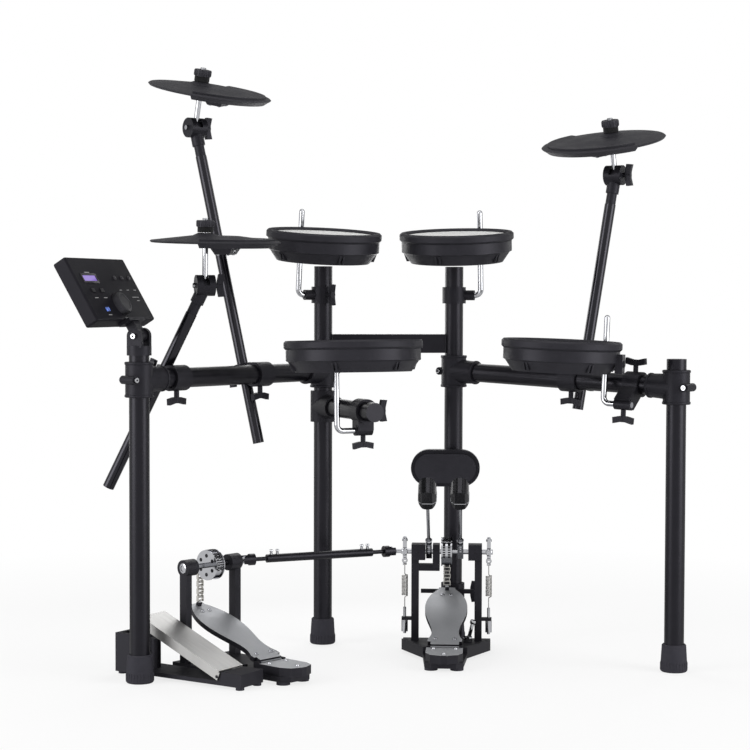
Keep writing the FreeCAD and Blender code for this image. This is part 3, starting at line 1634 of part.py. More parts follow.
def spring_wire(x):
    # One wire: a hook over the lever's pin, a close coil, and a straight tail into the adjuster.
    radius = size("spring_r")
    low = size("spring_low")
    rise = size("spring_top") - low
    steps = quarter_count * size("spring_turns_count")
    points = []
    lines = []
    for i in range(steps + 1):
        turn = math.radians(quarter_deg * i)
        points.append(Vector(x + radius * math.cos(turn), radius * math.sin(turn), low + rise * i / steps))
        slope = rise / (steps * math.radians(quarter_deg))
        line = Vector(-radius * math.sin(turn), radius * math.cos(turn), slope)
        lines.append(line.normalize())
    tail = Vector(x, 0, size("spring_low_end"))
    bend = Vector(x, 0, low - radius)
    edges = [Part.makeLine(tail, bend)]
    edges += biarc(bend, axis_z, points[0], lines[0])
    for i in range(steps):
        edges += biarc(points[i], lines[i], points[i + 1], lines[i + 1])
    pin_z = size("axle_z") - size("lever_drop")
    over = Vector(x, -size("hook_r"), pin_z)
    neck = Vector(x, -size("hook_r"), size("spring_top") + radius)
    edges += biarc(points[-1], lines[-1], neck, axis_z)
    edges.append(Part.makeLine(neck, over))
    crown = Vector(x, 0, pin_z + size("hook_r"))
    end = Vector(x, size("hook_r"), pin_z)
    edges.append(Part.Arc(over, crown, end).toShape())
    path = Part.Wire(edges)
    ring = Part.Wire([Part.Circle(tail, axis_z, size("spring_wire_r")).toShape()])
    shell = path.makePipeShell([ring], True, False)
    wire = doc.addObject("Part::Feature", "Spring")
    wire.Shape = Part.Solid(shell) if shell.ShapeType == "Shell" else shell.Solids[0]
    sampled = path.discretize(Distance=size("spring_wire_r"))
    limit = quarter_count * size("spring_wire_r")
    apart_count = 2 * quarter_count
    least = min(
        (a - b).Length
        for i, a in enumerate(sampled)
        for b in sampled[i + apart_count:]
        if abs(a.z - b.z) < limit
    )
    print("spring gap to itself", round(least - 2 * size("spring_wire_r"), 3))
    return wire


# Pedal springs and their adjusters.
node("main_spring", [spring_wire(size("lever_x"))], main_place)
node("left_spring", [spring_wire(-size("lever_x"))], main_place)
for side in (-1, 1):
    x = side * size("lever_x")
    place = main_place.multiply(moved(x, 0, size("adjuster_low")))
    rod = cylinder("adjuster_r", "spring_low_end - adjuster_low", place)
    nut_at = main_place.multiply(moved(x, 0, size("adjuster_nut_low")))
    nut = cylinder("adjuster_nut_r", "tab_z - adjuster_nut_low", nut_at)
    bolts.append(fuse(rod, nut))

# Drive shaft between the universal joints.
shaft_start = side_rest.multVec(Vector(size("side_joint_x"), 0, 0))
shaft_end = axle_rest.multVec(Vector(-size("joint_x"), 0, 0))
shaft_line = (shaft_end - shaft_start).normalize()
shaft_span = (shaft_end - shaft_start).Length
shaft_place = pose(shaft_start, shaft_line, axis_z)


def yoke(base, line):
    # Fork with two cheeks round the ball of a universal joint.
    place = pose(base, line, axis_z)
    back = cylinder("yoke_r", "yoke_back + yoke_reach", place.multiply(moved(0, 0, -size("yoke_reach"))))
    slot = piece(
        "Part::Box",
        place.multiply(moved(-size("yoke_r"), -half_share * size("yoke_slot"), -size("yoke_reach"))),
        Length="2 * yoke_r",
        Width="yoke_slot",
        Height="yoke_reach + joint_ball_r + yoke_gap",
    )
    return cut(back, slot)


tube_inset = shaft_line * size("shaft_tube_gap")
shaft_tube = bar_between("shaft_r", shaft_start + tube_inset, shaft_end - tube_inset)
rod_inset = shaft_line * (size("yoke_back") - size("part_gap"))
shaft_rod = bar_between("shaft_rod_r", shaft_start + rod_inset, shaft_end - rod_inset)
shaft_screws = []
for end in (size("shaft_tube_gap"), shaft_span - size("shaft_tube_gap")):
    inward = 1 if end < half_share * shaft_span else -1
    for step in (0, 1):
        along = end + inward * (size("screw_first") + step * size("screw_pitch"))
        spot = shaft_place.multiply(moved(0, 0, along))
        shaft_screws.append(cylinder("screw_r", "screw_h", pose(spot.Base, axis_z)))
yokes = [yoke(shaft_start, shaft_line), yoke(shaft_end, -shaft_line)]
node("drive_shaft", [fuse(shaft_tube, shaft_rod, *yokes, *shaft_screws)])
joint("drive_shaft", shaft_start, shaft_line)

# Hi-hat pedal: base with a back block, side arms, heel block, feet and a rubber stop.
hat_spot = outer_left + Vector(size("hat_right"), size("hat_rear"), 0)
hat_place = Placement(hat_spot, Rotation(axis_z, size("hat_deg")))
hat_floor = plate(
    [
        ("hat_half", "hat_back"),
        ("-hat_half", "hat_back"),
        ("-hat_heel_half", "hat_heel + hat_heel_long"),
        ("-hat_heel_half", "hat_heel"),
        ("hat_heel_half", "hat_heel"),
        ("hat_heel_half", "hat_heel + hat_heel_long"),
    ],
    "hat_floor_thick",
    moved(0, 0, size("hat_floor")),
)
hat_parts = [hat_floor]
for side in (-1, 1):
    x = side * (size("hat_half") - half_share * size("hat_cheek"))
    cheek = block(
        "hat_cheek", "hat_block_long", "hat_block_h",
        moved(x, size("hat_back") - half_share * size("hat_block_long"), size("hat_floor")),
    )
    hat_parts.append(cheek)
hat_wall = piece(
    "Part::Box",
    moved(-size("hat_half"), size("hat_back") - size("hat_cheek"), size("hat_floor")),
    Length="2 * hat_half",
    Width="hat_cheek",
    Height="hat_block_h",
)
hat_parts.append(hat_wall)
hat_heel_block = piece(
    "Part::Box",
    moved(-size("hat_heel_half"), size("hat_heel"), size("hat_floor")),
    Length="2 * hat_heel_half",
    Width="hat_heel_long",
    Height="hat_heel_h - hat_floor",
)
hat_parts.append(hat_heel_block)
hat_parts.append(
    cylinder("stop_r", "stop_h - hat_floor", moved(0, size("stop_y"), size("hat_floor")))
)
pin_half = size("treadle_half") - size("treadle_thick") - size("part_gap")
pin_lug = piece(
    "Part::Box",
    moved(-pin_half, size("hat_heel") + size("hat_heel_long") - size("part_gap"), size("hat_floor")),
    Length="2 * treadle_half - 2 * treadle_thick - 2 * part_gap",
    Width="hat_pin_y - hat_heel - hat_heel_long + hat_pin_r + part_gap",
    Height="hat_pin_z - hat_floor + hat_pin_r",
)
hat_parts.append(pin_lug)
hat_pin = cylinder(
    "hat_pin_r", "2 * treadle_half + 2 * part_gap",
    pose(Vector(-size("treadle_half") - size("part_gap"), size("hat_pin_y"), size("hat_pin_z")), axis_x),
)
hat_parts.append(hat_pin)
hat_feet = [
    cylinder("hat_foot_r", "hat_floor", moved(side * (size("hat_heel_half") - size("hat_foot_r")), y, 0))
    for side in (-1, 1)
    for y in (size("hat_heel") + size("hat_foot_r"), size("hat_back") - size("hat_foot_r"))
]
node("hihat_base", [fuse(*hat_parts)] + hat_feet, hat_place)

# Treadle: a plate folded down at both sides, turning on the pin.
tread_top = size("treadle_lift")
tread_plate = piece(
    "Part::Box",
    moved(-size("treadle_half"), 0, tread_top),
    Length="2 * treadle_half",
    Width="treadle_long",
    Height="treadle_thick",
)
flanges = []
for side in (-1, 1):
    x = -size("treadle_half") if side < 0 else size("treadle_half") - size("treadle_thick")
    flange = piece(
        "Part::Box",
        moved(x, -size("hat_pin_r"), tread_top - size("treadle_flange")),
        Length="treadle_thick",
        Width="treadle_long + hat_pin_r",
        Height="treadle_flange",
    )
    flanges.append(flange)
tread_bore = cylinder(
    "hat_pin_r + run_gap", "2 * treadle_half + 4 * part_gap",
    pose(Vector(-size("treadle_half") - 2 * size("part_gap"), 0, 0), axis_x),
)
treadle = cut(fuse(tread_plate, *flanges), tread_bore)
tread_pose = moved(0, size("hat_pin_y"), size("hat_pin_z")).multiply(turned(axis_x, size("treadle_deg")))
node("hihat_treadle", [treadle], hat_place.multiply(tread_pose))
joint(
    "hihat_treadle",
    hat_place.multVec(Vector(0, size("hat_pin_y"), size("hat_pin_z"))),
    hat_place.Rotation.multVec(axis_x),
)

# Module bracket: socket on the left post with two cheeks and a pivot pin.
face_turn = math.radians(size("module_face_deg"))
face_front = Vector(math.cos(face_turn), math.sin(face_turn), 0)
face_across = axis_z.cross(face_front)
post_top = outer_left + axis_z * size("left_post_top")
socket_low = post_top - axis_z * (size("bracket_h") - size("cap_h"))
stand_place = pose(socket_low, axis_z, face_front)
stand = cylinder("bracket_r", "bracket_h", stand_place)
stand_bore = cylinder("tube_r + snug_gap", "bracket_h - cap_h", stand_place)
pivot_z = size("bracket_h") + size("pivot_up")
cheeks = []
cheek_y = half_share * (size("neck_wide") + size("bracket_cheek")) + size("part_gap")
for side in (-1, 1):
    base = stand_place.multiply(moved(0, side * cheek_y, size("bracket_h") - size("cap_h")))
    cheeks.append(block("bracket_deep", "bracket_cheek", "pivot_up + cap_h", base))
    disc_at = stand_place.multiply(moved(0, side * cheek_y - half_share * size("bracket_cheek"), pivot_z))
    disc = cylinder("bracket_deep / 2", "bracket_cheek", disc_at.multiply(pose(origin, axis_y)))
    cheeks.append(disc)
pin_long = 2 * cheek_y + size("bracket_cheek")
pin_ends = [stand_place.multVec(Vector(0, side * half_share * pin_long, pivot_z)) for side in (-1, 1)]
pivot_pin = bar_between("pivot_r", *pin_ends)
for side in (-1, 1):
    spot = stand_place.multiply(moved(0, side * half_share * pin_long, pivot_z))
    key_bolt(pose(spot.Base, face_across * side))
node("module_stand", [cut(fuse(stand, *cheeks, pivot_pin), stand_bore)])
pivot_point = stand_place.multVec(Vector(0, 0, pivot_z))
joint("module_tilt", pivot_point, face_across)

# Module: its own frame has X across, Y up the front face, Z out of the face.
back_turn = math.radians(size("module_back_deg"))
face_up = -face_front * math.sin(back_turn) + axis_z * math.cos(back_turn)
face_out = face_front * math.cos(back_turn) + axis_z * math.sin(back_turn)
neck_up = face_up * (size("neck_rise") + size("neck_r"))
foot_point = pivot_point + neck_up - face_out * size("module_forward")
module_middle = foot_point - face_across * size("module_along") + face_up * half_share * size("module_d")
module_place = pose(module_middle, face_out, face_across)
thick = size("module_thick")
outer_box = piece(
    "Part::Box",
    moved(-half_share * size("module_w"), -half_share * size("module_d"), -half_share * thick),
    Length="module_w",
    Width="module_d",
    Height="module_thick",
)
rounded = doc.addObject("Part::Fillet", "RoundedCase")
rounded.Base = outer_box
doc.recompute()
rounded.Edges = [
    (number_of, size("module_round"), size("module_round"))
    for number_of in range(1, len(outer_box.Shape.Edges) + 1)
]
inner_box = piece(
    "Part::Box",
    moved(
        size("module_wall") - half_share * size("module_w"),
        size("module_wall") - half_share * size("module_d"),
        size("module_wall") - half_share * thick,
    ),
    Length="module_w - 2 * module_wall",
    Width="module_d - 2 * module_wall",
    Height="module_thick - 2 * module_wall",
)
face_z = half_share * thick
screen_hole = block(
    "screen_w", "screen_d", "screen_thick",
    moved(size("screen_across"), size("screen_up"), face_z - size("screen_thick")),
)
key_spots = {
    "kit_down_key": (size("key_across"), size("key_up")),
    "kit_up_key": (size("key_across") + size("key_pitch"), size("key_up")),
    "start_key": (size("start_across"), size("start_up")),
}
key_holes = [
    piece(
        "Part::Box",
        moved(
            across - half_share * size("key_wide") - size("key_fit"),
            up - half_share * size("key_tall") - size("key_fit"),
            face_z - size("key_deep"),
        ),
        Length="key_wide + 2 * key_fit",
        Width="key_tall + 2 * key_fit",
        Height="key_deep",
    )
    for across, up in key_spots.values()
]
dial_hole = cylinder(
    "dial_shaft_r + run_gap", "dial_shaft_len",
    moved(size("dial_across"), size("dial_up"), face_z - size("dial_shaft_len")),
)
lamps = [
    cylinder(
        "lamp_r", "lamp_h",
        moved(size("lamp_across") + step * size("lamp_pitch"), size("lamp_up"), face_z),
    )
    for step in (-1, 0, 1)
]
case = cut(rounded, inner_box, screen_hole, dial_hole, *key_holes)
neck_foot = module_place.inverse().multVec(pivot_point)
mount_box = piece(
    "Part::Box",
    moved(
        size("module_along") - half_share * size("mount_w"),
        -half_share * size("module_d") - size("mount_thick"),
        neck_foot.z - half_share * size("mount_d"),
    ),
    Length="mount_w",
    Width="mount_thick",
    Height="mount_d",
)
neck_box = piece(
    "Part::Box",
    moved(neck_foot.x - half_share * size("neck_wide"), neck_foot.y, neck_foot.z - size("neck_r")),
    Length="neck_wide",
    Width="neck_rise + neck_r - mount_thick",
    Height="2 * neck_r",
)
neck_eye = cylinder(
    "neck_r + pivot_r / 2", "neck_wide",
    pose(Vector(neck_foot.x - half_share * size("neck_wide"), neck_foot.y, neck_foot.z), axis_x),
)
neck_bore = cylinder(
    "pivot_r + run_gap", "neck_wide",
    pose(Vector(neck_foot.x - half_share * size("neck_wide"), neck_foot.y, neck_foot.z), axis_x),
)
module_neck = cut(fuse(mount_box, neck_box, neck_eye), neck_bore)
node("module_case", [case] + lamps, module_place)
node("module_bracket", [module_neck], module_place)
screen = block(
    "screen_w", "screen_d", "screen_thick",
    moved(size("screen_across"), size("screen_up"), face_z - size("screen_thick")),
)
node("module_screen", [screen], module_place)
dial_base = moved(size("dial_across"), size("dial_up"), face_z + size("part_gap"))
dial_shaft = cylinder(
    "dial_shaft_r", "dial_shaft_len",
    moved(size("dial_across"), size("dial_up"), face_z + size("part_gap") - size("dial_shaft_len")),
)
dial_knob = cone("dial_r", "dial_r - module_wall", "dial_h", dial_base)
node("module_dial", [fuse(dial_knob, dial_shaft)], module_place)
joint("module_dial", module_place.multVec(dial_base.Base), face_out)
for name, (across, up) in key_spots.items():
    key = block(
        "key_wide", "key_tall", "key_deep",
        moved(across, up, face_z + size("key_proud") - size("key_deep")),
    )
    node(name, [key], module_place)
    joint(name, module_place.multVec(Vector(across, up, face_z)), -face_out)

# Bolts, wing bolts and spring adjusters.
node("bolts_and_knobs", bolts)

doc.recompute()
faults = [made.Name for made in doc.Objects if "Invalid" in made.State or "Error" in made.State]
if faults:
    raise RuntimeError(f"not built: {faults}")
os.makedirs("parts", exist_ok=True)
for label, made in nodes.items():
    shape = made.Shape
    if shape.isNull() or not shape.isValid() or not shape.Solids:
        raise RuntimeError(f"bad shape: {label}")
    shape.exportStep(f"parts/{label}.step")
    print(label, len(shape.Solids), shape.BoundBox)
for name, (point, axis) in joints.items():
    print("joint", name, [round(v, 4) for v in point], [round(v, 6) for v in axis])
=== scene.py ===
import json
import math

import bmesh
import bpy
import numpy as np
from mathutils import Matrix, Vector


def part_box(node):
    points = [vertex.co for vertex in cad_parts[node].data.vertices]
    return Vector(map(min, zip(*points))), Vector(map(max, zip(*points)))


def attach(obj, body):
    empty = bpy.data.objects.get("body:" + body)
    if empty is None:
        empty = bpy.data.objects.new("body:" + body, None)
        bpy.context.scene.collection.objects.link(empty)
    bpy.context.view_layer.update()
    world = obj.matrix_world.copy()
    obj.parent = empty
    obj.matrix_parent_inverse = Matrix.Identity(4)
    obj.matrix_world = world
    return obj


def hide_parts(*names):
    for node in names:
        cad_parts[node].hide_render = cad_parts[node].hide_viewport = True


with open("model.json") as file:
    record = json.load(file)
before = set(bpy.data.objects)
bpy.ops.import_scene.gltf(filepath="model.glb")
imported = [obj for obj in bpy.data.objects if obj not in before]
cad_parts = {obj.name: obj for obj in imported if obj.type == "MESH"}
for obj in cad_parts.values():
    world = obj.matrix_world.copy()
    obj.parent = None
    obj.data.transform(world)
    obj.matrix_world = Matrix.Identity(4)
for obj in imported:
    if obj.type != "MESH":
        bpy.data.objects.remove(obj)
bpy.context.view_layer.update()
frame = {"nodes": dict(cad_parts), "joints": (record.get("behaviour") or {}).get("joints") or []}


# Rack tubes: drawn steel, welded at the cross bar and powder-coated satin black.
# The coat has a fine orange peel, and the open ends of the posts are closed by plastic caps.
def effect(name, inputs, outputs):
    tree = bpy.data.node_groups.new(name, "ShaderNodeTree")
    for label, value in inputs.items():
        kind = "Float" if isinstance(value, float) else {3: "Vector", 4: "Color"}[len(value)]
        socket = tree.interface.new_socket(name=label, in_out="INPUT", socket_type="NodeSocket" + kind)
        socket.default_value = value
    for label in outputs:
        kind = "Color" if label == "Colour" else "Float"
        tree.interface.new_socket(name=label, in_out="OUTPUT", socket_type="NodeSocket" + kind)
    given = tree.nodes.new("NodeGroupInput")
    result = tree.nodes.new("NodeGroupOutput")
    return tree, given.outputs, result.inputs


def feed(tree, sockets, values):
    for label, value in values.items():
        if isinstance(value, bpy.types.NodeSocket):
            tree.links.new(value, sockets[label])
        else:
            sockets[label].default_value = value


def step(tree, kind, values=(), **settings):
    made = tree.nodes.new("ShaderNode" + kind)
    for label, value in settings.items():
        setattr(made, label, value)
    feed(tree, made.inputs, dict(values))
    return made


def own_place(tree):
    return step(tree, "TexCoord").outputs["Object"]


def noise(tree, place, scale, detail, roughness=0.5):
    values = {"Vector": place, "Scale": scale, "Detail": detail, "Roughness": roughness}
    return step(tree, "TexNoise", values).outputs["Fac"]


def sum_of(tree, operation, first, second=0.0):
    return step(tree, "Math", {0: first, 1: second}, operation=operation).outputs[0]


def mix_of(tree, first, first_share, second, second_share):
    parts = (sum_of(tree, "MULTIPLY", first, first_share), sum_of(tree, "MULTIPLY", second, second_share))
    return sum_of(tree, "ADD", *parts)


def vector_of(tree, operation, first, second=(0, 0, 0)):
    made = step(tree, "VectorMath", {0: first, 1: second}, operation=operation)
    return made.outputs["Value" if operation in ("DOT_PRODUCT", "LENGTH") else "Vector"]


def spread(tree, value, low, high, to_low=0.0, to_high=1.0):
    values = {"Value": value, "From Min": low, "From Max": high, "To Min": to_low, "To Max": to_high}
    return step(tree, "MapRange", values, clamp=True).outputs[0]


def blend_colour(tree, share, first, second):
    share_in, first_in, second_in, colour_out = 0, 6, 7, 2
    values = {share_in: share, first_in: first, second_in: second}
    return step(tree, "Mix", values, data_type="RGBA").outputs[colour_out]


def bumped(tree, height, strength, distance):
    values = {"Height": height, "Strength": strength, "Distance": distance}
    return step(tree, "Bump", values).outputs["Normal"]


grain, given, result = effect("fine_grain", {
    "Scale": 900.0, "Colour": (0.02, 0.02, 0.02, 1), "Tint": (0.03, 0.03, 0.03, 1),
    "Rough Low": 0.4, "Rough High": 0.5,
}, ("Colour", "Roughness", "Height"))
place = own_place(grain)
fine = noise(grain, place, given["Scale"], detail=3.0)
mottle = noise(grain, place, scale=38.0, detail=4.0)
shade = spread(grain, mix_of(grain, fine, 0.45, mottle, 0.55), 0.36, 0.64)
feed(grain, result, {
    "Colour": blend_colour(grain, shade, given["Colour"], given["Tint"]),
    "Roughness": spread(grain, shade, 0.0, 1.0, given["Rough Low"], given["Rough High"]),
    "Height": fine,
})

wear, given, result = effect("edge_wear", {"Radius": 0.0012, "Amount": 0.5}, ("Mask",))
true_normal = step(wear, "NewGeometry").outputs["Normal"]
eased_normal = step(wear, "Bevel", {"Radius": given["Radius"]}, samples=4).outputs["Normal"]
turned_by = sum_of(wear, "SUBTRACT", 1.0, vector_of(wear, "DOT_PRODUCT", true_normal, eased_normal))
patch = noise(wear, own_place(wear), scale=160.0, detail=3.0)
worn = sum_of(wear, "MULTIPLY", spread(wear, turned_by, 0.03, 0.2), spread(wear, patch, 0.42, 0.62, 0.15, 1.0))
feed(wear, result, {"Mask": sum_of(wear, "MULTIPLY", worn, given["Amount"])})

dust, given, result = effect("settled_dust", {"Amount": 0.1}, ("Mask",))
normal = step(dust, "NewGeometry").outputs["Normal"]
facing = step(dust, "SeparateXYZ", {"Vector": normal}).outputs["Z"]
drift = noise(dust, own_place(dust), scale=55.0, detail=6.0, roughness=0.7)
lying = sum_of(dust, "MULTIPLY", spread(dust, facing, 0.55, 1.0), spread(dust, drift, 0.4, 0.75))
feed(dust, result, {"Mask": sum_of(dust, "MULTIPLY", lying, given["Amount"])})


def cleared(owner):
    owner.use_nodes = True
    owner.node_tree.nodes.clear()
    return owner.node_tree


def blank(name):
    made = bpy.data.materials.new(name)
    tree = cleared(made)
    skin = step(tree, "BsdfPrincipled")
    step(tree, "OutputMaterial", {"Surface": skin.outputs["BSDF"]})
    return made, tree, skin.inputs


def placed(tree, group, **values):
    made = tree.nodes.new("ShaderNodeGroup")
    made.node_tree = group
    feed(tree, made.inputs, {label.replace("_", " ").title(): value for label, value in values.items()})
    return made.outputs


def edge_share(tree):
    return step(tree, "LayerWeight", {"Blend": 0.5}).outputs["Facing"]


dust_grey = (0.16, 0.155, 0.15, 1)
dust_dulls = 0.8
black_sheen = (0.9, 0.88, 1.0, 1)
sheen_left = 0.1


def moulded(name, colour, tint, rough, scale, depth, worn_colour, worn, dusty, specular):
    made, tree, skin = blank(name)
    base = placed(tree, grain, scale=scale, colour=colour, tint=tint, rough_low=rough[0], rough_high=rough[1])
    rubbed = placed(tree, wear, amount=worn)["Mask"]
    settled = placed(tree, dust, amount=dusty)["Mask"]
    shown = blend_colour(tree, rubbed, base["Colour"], worn_colour)
    dulled = sum_of(tree, "MULTIPLY", settled, dust_dulls)
    feed(tree, skin, {
        "Base Color": blend_colour(tree, settled, shown, dust_grey),
        "Roughness": sum_of(tree, "ADD", base["Roughness"], dulled),
        "Normal": bumped(tree, base["Height"], depth, distance=0.0003),
        "Specular IOR Level": spread(tree, edge_share(tree), 0.25, 0.75, specular, specular * sheen_left),
        "Specular Tint": black_sheen,
    })
    return made


tube_coat = moulded(
    "tube_coat", colour=(0.003, 0.0028, 0.0042, 1), tint=(0.005, 0.0047, 0.0068, 1), rough=(0.3, 0.37),
    scale=700.0, depth=0.05, worn_colour=(0.05, 0.05, 0.055, 1), worn=0.22, dusty=0.03, specular=0.25,
)
cap_plastic = moulded(
    "cap_plastic", colour=(0.0115, 0.0112, 0.0135, 1), tint=(0.0185, 0.018, 0.0215, 1), rough=(0.42, 0.55),
    scale=1500.0, depth=0.12, worn_colour=(0.06, 0.06, 0.062, 1), worn=0.3, dusty=0.1, specular=0.16,
)


def listed(items, label, size, kind=np.float64):
    values = np.empty(size * len(items), kind)
    items.foreach_get(label, values)
    return values


cell_size = 2e-5


def solids(node):
    mesh = frame["nodes"][node].data
    spots = listed(mesh.vertices, "co", 3).reshape(-1, 3)
    corners = listed(mesh.loops, "vertex_index", 1, np.int32).reshape(-1, 3)
    # Vertices in one cell of either of two shifted grids belong to one solid, as those of one face do.
    cells = []
    for shift in (0.0, 0.5):
        index = np.floor(spots / cell_size + shift).astype(np.int64)
        cells.append(np.unique(index, axis=0, return_inverse=True)[1].ravel())
    label = np.arange(len(spots))
    while True:
        low = label.copy()
        for cell in cells:
            least = np.full(cell.max() + 1, len(spots))
            np.minimum.at(least, cell, low)
            low = least[cell]
        np.minimum.at(low, corners.ravel(), np.repeat(low[corners].min(axis=1), 3))
        low = low[low]
        if (low == label).all():
            break
        label = low
    owner = label[corners[:, 0]]
    groups = []
    for value in np.unique(owner):
        faces = np.flatnonzero(owner == value)
        points = spots[corners[faces].ravel()]
        low, high = points.min(axis=0), points.max(axis=0)
        groups.append({
            "faces": faces, "points": points, "low": low, "high": high, "middle": (low + high) / 2,
            "span": float(np.linalg.norm(high - low)), "tall": high[2] - low[2],
        })
    return groups


def dress(node, *materials):
    mesh = frame["nodes"][node].data
    mesh.materials.clear()
    for material in materials:
        mesh.materials.append(material)
    mesh.polygons.foreach_set("material_index", np.zeros(len(mesh.polygons), np.int32))


def dress_solids(node, materials, choose):
    dress(node, *materials)
    mesh = frame["nodes"][node].data
    index = np.zeros(len(mesh.polygons), np.int32)
    for group in solids(node):
        index[group["faces"]] = choose(group)
    mesh.polygons.foreach_set("material_index", index)


cap_tall = 0.06
for posts in ("center_frame", "outer_posts"):
    dress_solids(posts, (tube_coat, cap_plastic), lambda group: int(group["tall"] < cap_tall))
dress("wing_tubes", tube_coat)


# Weld beads: the cross bar is welded to the two inner posts along its four edges.
# The bead is a row of small overlapping scallops under the same black coat.
def linked(name, data):
    made = bpy.data.objects.new(name, data)
    bpy.context.scene.collection.objects.link(made)
    return made


def added(name, material, body, slot, *makers, smooth_deg):
    shape = bmesh.new()
    for maker in makers:
        maker(shape)
    bmesh.ops.recalc_face_normals(shape, faces=shape.faces)
    mesh = bpy.data.meshes.new(name)
    shape.to_mesh(mesh)
    shape.free()
    made = linked(name, mesh)
    mesh.materials.append(material)
    mesh.shade_smooth()
    mesh.set_sharp_from_angle(angle=math.radians(smooth_deg))
    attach(made, body)
    return made


bead_coat = moulded(
    "bead_coat", colour=(0.011, 0.011, 0.013, 1), tint=(0.018, 0.018, 0.021, 1), rough=(0.3, 0.42),
    scale=500.0, depth=0.1, worn_colour=(0.07, 0.07, 0.075, 1), worn=0.3, dusty=0.05, specular=0.3,
)
bar_low, bar_high, bar_half = 0.6045, 0.6425, 0.007
post_radius = 0.01905
bead_radius, bead_count, bead_stretch = 0.0017, 22, (1.15, 1.0, 0.8)
bead_out, bead_proud = 0.0004, 0.0002
frame_low, frame_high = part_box("center_frame")
post_y = (frame_low.y + frame_high.y) / 2
bead_reach = math.sqrt(post_radius**2 - bar_half**2) + bead_out


def weld_beads(shape):
    for post_x, side in ((frame_low.x + post_radius, 1), (frame_high.x - post_radius, -1)):
        for front in (-1, 1):
            for number in range(bead_count):
                share = (number + 0.5) / bead_count
                spot = Vector((
                    post_x + side * bead_reach,
                    post_y + front * (bar_half + bead_proud),
                    bar_low + share * (bar_high - bar_low),
                ))
                made = bmesh.ops.create_icosphere(shape, subdivisions=2, radius=bead_radius)["verts"]
                bmesh.ops.scale(shape, vec=bead_stretch, verts=made)
                bmesh.ops.translate(shape, vec=spot, verts=made)


added("weld_beads", bead_coat, "rack", "powder_coat", weld_beads, smooth_deg=180.0)


# Rubber boots under the four posts: pushed on, moulded in charcoal rubber, with short flutes at the floor.
boot_rubber = moulded(
    "boot_rubber", colour=(0.027, 0.0262, 0.033, 1), tint=(0.037, 0.0362, 0.044, 1), rough=(0.62, 0.78),
    scale=1100.0, depth=0.22, worn_colour=(0.075, 0.075, 0.08, 1), worn=0.3, dusty=0.2, specular=0.16,
)
dress("rubber_feet", boot_rubber)


def stitched(shape, loops, ring):
    turns = len(loops[0])
    followers = loops[1:] + loops[:1] if ring else loops[1:]
    for low, high in zip(loops, followers):
        for number in range(turns):
            after = (number + 1) % turns
            shape.faces.new((low[number], low[after], high[after], high[number]))


def spun(shape, profile, centre, axis, turns, ring=False):
    up = Vector(axis).normalized()
    side = up.orthogonal().normalized()
    front = up.cross(side)
    loops = []
    for radius, height in profile:
        loop = []
        for number in range(turns):
            angle = 2 * math.pi * number / turns
            out = side * math.cos(angle) + front * math.sin(angle)
            loop.append(shape.verts.new(Vector(centre) + up * height + out * radius))
        loops.append(loop)
    stitched(shape, loops, ring)
    if not ring:
        shape.faces.new(loops[0][::-1])
        shape.faces.new(loops[-1])


def studs(profile, places, turns, ring=False):
    def make(shape):
        for spot, axis in places:
            spun(shape, profile, spot, axis, turns, ring)
    return make


def around(axis, first, count):
    return [Matrix.Rotation(2 * math.pi * number / count, 3, axis) @ first for number in range(count)]


upward, sideways = Vector((0, 0, 1)), Vector((1, 0, 0))
flute_count, flute_low, flute_ring = 28, 0.0025, 0.0252
flute_profile = [(0.0008, 0.0), (0.0013, 0.001), (0.0013, 0.014), (0.0004, 0.017)]
flutes = []
for boot in solids("rubber_feet"):
    foot = Vector((*boot["middle"][:2], flute_low))
    flutes += [(foot + out * flute_ring, upward) for out in around(upward, sideways, flute_count)]
added("boot_flutes", boot_rubber, "rack", "boot_rubber", studs(flute_profile, flutes, turns=8), smooth_deg=60.0)


# Corner castings, snare stub, rod clamps and arm clamps: glass-filled black castings with a fine sand texture.
# Their split halves are drawn together by key bolts with bright heads and by black wing bolts.
casting_black = moulded(
    "casting_black", colour=(0.0096, 0.0094, 0.0118, 1), tint=(0.0165, 0.0161, 0.02, 1), rough=(0.36, 0.5),
    scale=1300.0, depth=0.28, worn_colour=(0.06, 0.06, 0.064, 1), worn=0.35, dusty=0.08, specular=0.17,
)
for casting in ("corner_castings", "rod_clamps", "arm_clamps", "kick_post_clamps", "module_stand"):
    dress(casting, casting_black)
stub_cap_span = min(group["span"] for group in solids("snare_stub_arm"))
stub_casting_tall = 0.055


def stub_finish(group):
    if group["span"] == stub_cap_span:
        return 2
    return 0 if group["tall"] > stub_casting_tall else 1


dress_solids("snare_stub_arm", (casting_black, tube_coat, cap_plastic), stub_finish)
boots = sorted((group["middle"] for group in solids("rubber_feet")), key=lambda middle: middle[0])
sleeve_radius, socket_radius, socket_reach = 0.026, 0.0232, 0.0555
collar_half, collar_proud, collar_sunk, collar_inset = 0.0024, 0.0013, 0.0008, 0.0004
collar_ease = collar_proud * 0.6
collar_turns = 48


def collar(radius):
    out = radius + collar_proud
    return [
        (radius - collar_sunk, -collar_half), (out - collar_ease, -collar_half),
        (out, collar_ease - collar_half), (out, collar_half - collar_ease),
        (out - collar_ease, collar_half), (radius - collar_sunk, collar_half),
    ]


